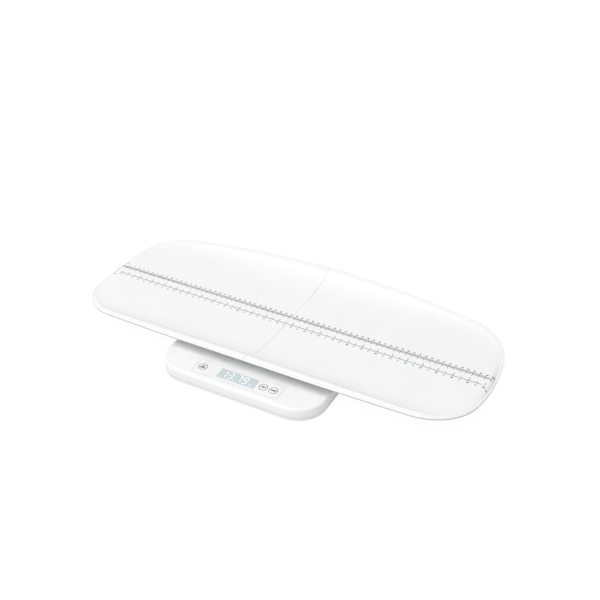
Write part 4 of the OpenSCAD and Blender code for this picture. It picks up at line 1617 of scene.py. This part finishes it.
@dataclass
class Underside:
    """The feet, screws, bottom cover and battery door."""

    form: BaseForm = field(default_factory=BaseForm)
    pad_r: float = 14.0
    pad_t: float = 2.0
    screw_head_r: float = 2.9
    copies: CopyOnPoints = field(default_factory=CopyOnPoints)

    def pads(self) -> None:
        """Build the four rubber pads with ringed soles."""
        outline = [(0, 0.35), (3.0, 0.35), (3.4, 0.0), (5.6, 0.0), (6.0, 0.35), (7.4, 0.35)]
        outline += [(7.8, 0.0), (9.8, 0.0), (10.2, 0.35), (11.4, 0.35), (11.8, 0.0)]
        outline += [(self.pad_r - 0.6, 0.0), (self.pad_r - 0.18, 0.18), (self.pad_r, 0.6)]
        outline += [(self.pad_r, self.pad_t), (0, self.pad_t)]
        for corner in CORNERS:
            node = "foot_pad_" + corner
            low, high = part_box(node)
            middle = (low + high) / 2
            pad = lathe(node, outline, steps=72)
            pad.transform(Matrix.Translation((middle.x, middle.y, 0.0)))
            made = link(node + "_ringed", pad, RUBBER_GREY)
            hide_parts(node)
            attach(made, "base")
            report(made)
            smooth_copy("foot_cup_" + corner, RIB_WHITE, "base")

    def screws(self) -> None:
        """Build the eight shell screws with cross recesses."""
        low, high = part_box("shell_screws")
        head_low = low.z / MM
        r = self.screw_head_r
        shank = (high.z - low.z) / MM
        outline = [(0, 0), (r - 0.7, 0.0), (r - 0.2, 0.35), (r, 0.9), (r, 1.8), (1.5, 1.8)]
        outline += [(1.5, shank - 1.2), (0.6, shank), (0, shank)]
        screw = lathe("screw", outline, steps=40)
        bar = 0.42
        for tool in (
            block((-1.7, -bar, -0.5), (1.7, bar, 0.9)),
            block((-bar, -1.7, -0.5), (bar, 1.7, 0.95)),
        ):
            screw = cut(screw, tool)
        source = placed("screw", screw)
        form = self.form
        edge = 14.0
        back = form.front_y + form.depth
        spots: list[Point3] = []
        for s in (-1, 1):
            spots += [
                (s * form.width * 0.29, form.front_y + edge, head_low),
                (s * form.width * 0.18, form.middle_y, head_low),
                (s * (form.width / 2 - edge), form.middle_y, head_low),
                (s * form.width * 0.25, back - edge, head_low),
            ]
        points = bpy.data.meshes.new("spots")
        points.from_pydata([tuple(c * MM for c in p) for p in spots], [], [])
        mesh = self.copies.run("screws", points, Copied=source, Material=SCREW_ZINC.material())
        bpy.data.objects.remove(source)
        mesh.set_sharp_from_angle(angle=math.radians(CREASE))
        made = link("casing_screws", mesh, SCREW_ZINC)
        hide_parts("shell_screws")
        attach(made, "base")
        report(made)

    def build(self) -> None:
        """Build the underside."""
        self.pads()
        self.screws()
        smooth_copy("base_bottom_cover", COVER_WHITE, "base")
        smooth_copy("battery_door", COVER_WHITE, "battery_door")


@dataclass
class Inside:
    """The hidden works: batteries, springs, board, cells and wires."""

    battery_r: float = 5.25
    battery_l: float = 44.5
    batteries: int = 3
    spring_l: float = 5.0
    spring_wire: float = 0.25
    springs: WoundSpring = field(default_factory=WoundSpring)

    def power(self) -> None:
        """Build the batteries with their metal ends, and their wound springs."""
        low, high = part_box("batteries")
        spring_low, spring_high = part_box("battery_springs")
        rows = self.batteries
        r = self.battery_r * MM
        pitch = (high.y - low.y - 2 * r) / (rows - 1)
        z = (low.z + high.z) / 2
        spring_l, wire = self.spring_l, self.spring_wire
        shells: list[bpy.types.Mesh] = []
        caps: list[bpy.types.Mesh] = []
        coils: list[bpy.types.Mesh] = []
        for i in range(rows):
            y = low.y + r + i * pitch
            turn = 0.0 if i % 2 == 0 else math.pi
            reach = (high.x - low.x) / 2 - self.battery_l * MM / 2
            place = Matrix.Translation((0.0, y, z)) @ Matrix.Rotation(turn, 4, "Z")
            place = place @ Matrix.Translation((reach, 0.0, 0.0))
            lie = Matrix.Rotation(math.pi / 2, 4, "Y")
            half = self.battery_l / 2
            jacket = lathe(
                "jacket",
                [(self.battery_r - 0.7, -half + 0.4), (self.battery_r, -half + 0.4),
                 (self.battery_r, half - 1.6), (self.battery_r - 0.9, half - 1.3),
                 (self.battery_r - 0.9, half - 1.5), (self.battery_r - 0.7, -half + 0.4)],
                steps=48,
            )
            metal = lathe(
                "ends",
                [(0, -half), (3.6, -half), (4.4, -half + 0.3), (4.5, half - 1.4), (2.4, half - 1.1),
                 (2.3, half - 0.1), (2.0, half), (0, half)],
                steps=48,
            )
            for mesh, group in ((jacket, shells), (metal, caps)):
                mesh.transform(place @ lie)
                group.append(mesh)
            coil = self.springs.run(
                "coil",
                bpy.data.meshes.new("start"),
                Turns=5.0,
                Foot_Radius=4.0 * MM - wire * MM,
                Tip_Radius=2.6 * MM,
                Height=(spring_l - 0.5) * MM,
                Wire_Radius=wire * MM,
                Material=NICKEL.material(),
            )
            start = Matrix.Translation((-(self.battery_l / 2 + spring_l - wire) * MM, 0.0, 0.0))
            coil.transform(place @ start @ lie)
            coils.append(coil)
        for name, parts, finish, stands, slot in (
            ("battery_jackets", shells, JACKET_GREY, ("batteries",), "battery_jacket"),
            ("battery_ends", caps, NICKEL, (), "contact_metal"),
            ("contact_coils", coils, NICKEL, ("battery_springs",), "contact_metal"),
        ):
            mesh = joined(name, parts)
            mesh.set_sharp_from_angle(angle=math.radians(35))
            made = link(name, mesh, finish)
            if stands:
                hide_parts(*stands)
            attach(made, "base")
            report(made)
        LOG.info("springs reach from %.4f to %.4f", spring_low.x, spring_high.x)

    def build(self) -> None:
        """Build the power parts and dress the rest."""
        self.power()
        for node, finish in KEPT_NODES.items():
            dress_node(node, finish)
        for side in Side:
            smooth_copy("tray_frame_" + side.word, RIB_WHITE, "tray_" + side.word)
            smooth_copy("tray_posts_" + side.word, RIB_WHITE, "tray_" + side.word)


KEPT_NODES = {
    "panel_overlay": FILM_WHITE,
    "lcd_backlight": GUIDE_MILKY,
    "main_board": BOARD_GREEN,
    "controller_chip": RESIN_BLACK,
    "wire_plugs": NYLON,
    "key_switches": RESIN_BLACK,
    **{"plunger_" + key: RESIN_BLACK for key in BUTTON_KEYS},
    "board_screws": SCREW_ZINC,
    "battery_contacts": NICKEL,
    **{"load_cell_" + corner: STEEL_BRUSHED for corner in CORNERS},
    "strain_gauges": GAUGE_AMBER,
    "sensor_wires": WIRE_RED,
    "battery_lead": WIRE_BLACK,
}


# --------------------------------------------------------------------------
# Studio
# --------------------------------------------------------------------------


@dataclass
class Studio:
    """The pale floor, the soft light and the camera."""

    eye: Point3 = (639.66, -1138.4, 969.9)
    yaw: float = math.radians(28.15)
    pitch: float = math.radians(34.06)
    lens: float = 58.89
    ambient: float = 0.53
    key_power: float = 6.65
    key_reach: float = 5.0
    key_from: Point3 = (-0.1, -0.43, 0.89)
    key_size: float = 3.2
    floor_reach: float = 30.0
    floor_bounce: float = 0.88
    floor_shade: float = 0.05
    floor_glow: float = 0.965

    def camera(self) -> None:
        """Place the camera at the photograph's viewing angle."""
        data = bpy.data.cameras.new("camera")
        data.lens = self.lens
        data.sensor_width = 36.0
        data.clip_end = 100.0
        made = placed("camera", data)
        made.location = Vector(self.eye) * MM
        look = Vector(
            (
                -math.sin(self.yaw) * math.cos(self.pitch),
                math.cos(self.yaw) * math.cos(self.pitch),
                -math.sin(self.pitch),
            )
        )
        made.rotation_mode = "QUATERNION"
        made.rotation_quaternion = look.to_track_quat("-Z", "Y")
        bpy.context.scene.camera = made

    def floor(self) -> None:
        """Lay the white floor, faintly shadowed above and clear when seen from below."""
        mesh = bpy.data.meshes.new("floor")
        r, low = self.floor_reach, -0.05 * MM
        mesh.from_pydata(
            [(-r, -r, low), (r, -r, low), (r, r, low), (-r, r, low)], [], [[0, 1, 2, 3]]
        )
        made = placed("floor", mesh)
        paint = bpy.data.materials.new("floor_white")
        paint.use_nodes = True
        tree = paint.node_tree
        tree.nodes.clear()
        out = tree.nodes.new("ShaderNodeOutputMaterial")
        plain, faint = (tree.nodes.new("ShaderNodeBsdfDiffuse") for _ in range(2))
        for coat, grey in ((plain, self.floor_bounce), (faint, self.floor_shade)):
            coat.inputs["Color"].default_value = (grey, grey, grey, 1.0)
        glow = tree.nodes.new("ShaderNodeEmission")
        glow.inputs["Strength"].default_value = self.floor_glow
        seen = tree.nodes.new("ShaderNodeAddShader")
        tree.links.new(faint.outputs[0], seen.inputs[0])
        tree.links.new(glow.outputs[0], seen.inputs[1])
        pick, under = (tree.nodes.new("ShaderNodeMixShader") for _ in range(2))
        clear = tree.nodes.new("ShaderNodeBsdfTransparent")
        facing = tree.nodes.new("ShaderNodeNewGeometry").outputs["Backfacing"]
        for mix, factor, first, second in (
            (pick, self.seen_ray(tree), plain, seen),
            (under, facing, pick, clear),
        ):
            tree.links.new(factor, mix.inputs["Fac"])
            tree.links.new(first.outputs[0], mix.inputs[1])
            tree.links.new(second.outputs[0], mix.inputs[2])
        tree.links.new(under.outputs[0], out.inputs["Surface"])
        mesh.materials.append(paint)

    def seen_ray(self, tree: bpy.types.NodeTree) -> bpy.types.NodeSocket:
        """Return a socket that is one for camera, glossy and transmission rays.

        Args:
            tree: The node tree to add to.

        Returns:
            The socket.
        """
        path = tree.nodes.new("ShaderNodeLightPath")
        seen = path.outputs["Is Camera Ray"]
        for ray in ("Is Glossy Ray", "Is Transmission Ray"):
            either = tree.nodes.new("ShaderNodeMath")
            either.operation = "MAXIMUM"
            tree.links.new(seen, either.inputs[0])
            tree.links.new(path.outputs[ray], either.inputs[1])
            seen = either.outputs[0]
        return seen

    def light(self) -> None:
        """Set the even sky and the soft key light from above the front."""
        world = bpy.data.worlds.new("sky")
        bpy.context.scene.world = world
        world.use_nodes = True
        tree = world.node_tree
        back = tree.nodes["Background"]
        back.inputs["Color"].default_value = (1.0, 1.0, 1.0, 1.0)
        strength = tree.nodes.new("ShaderNodeMapRange")
        strength.inputs["To Min"].default_value = self.ambient
        strength.inputs["To Max"].default_value = 1.0
        tree.links.new(self.seen_ray(tree), strength.inputs["Value"])
        tree.links.new(strength.outputs["Result"], back.inputs["Strength"])
        lamp = bpy.data.lights.new("key", "AREA")
        lamp.shape = "SQUARE"
        lamp.size = self.key_size
        lamp.energy = self.key_power * self.key_reach**2
        made = placed("key", lamp)
        aim = Vector(self.key_from).normalized()
        made.location = aim * self.key_reach
        made.rotation_mode = "QUATERNION"
        made.rotation_quaternion = (-aim).to_track_quat("-Z", "Y")

    def build(self) -> None:
        """Build the camera, the floor and the light."""
        self.camera()
        self.floor()
        self.light()
        bpy.context.scene.view_settings.view_transform = "Standard"


def main() -> None:
    """Build the scale's looks in order."""
    logging.basicConfig(level=logging.INFO, format="%(name)s: %(message)s")
    Studio().build()
    tray = Tray()
    tray.build()
    Ruler(tray).build()
    Base().build()
    Panel().build()
    Underside().build()
    Inside().build()


if __name__ == "__main__":
    main()
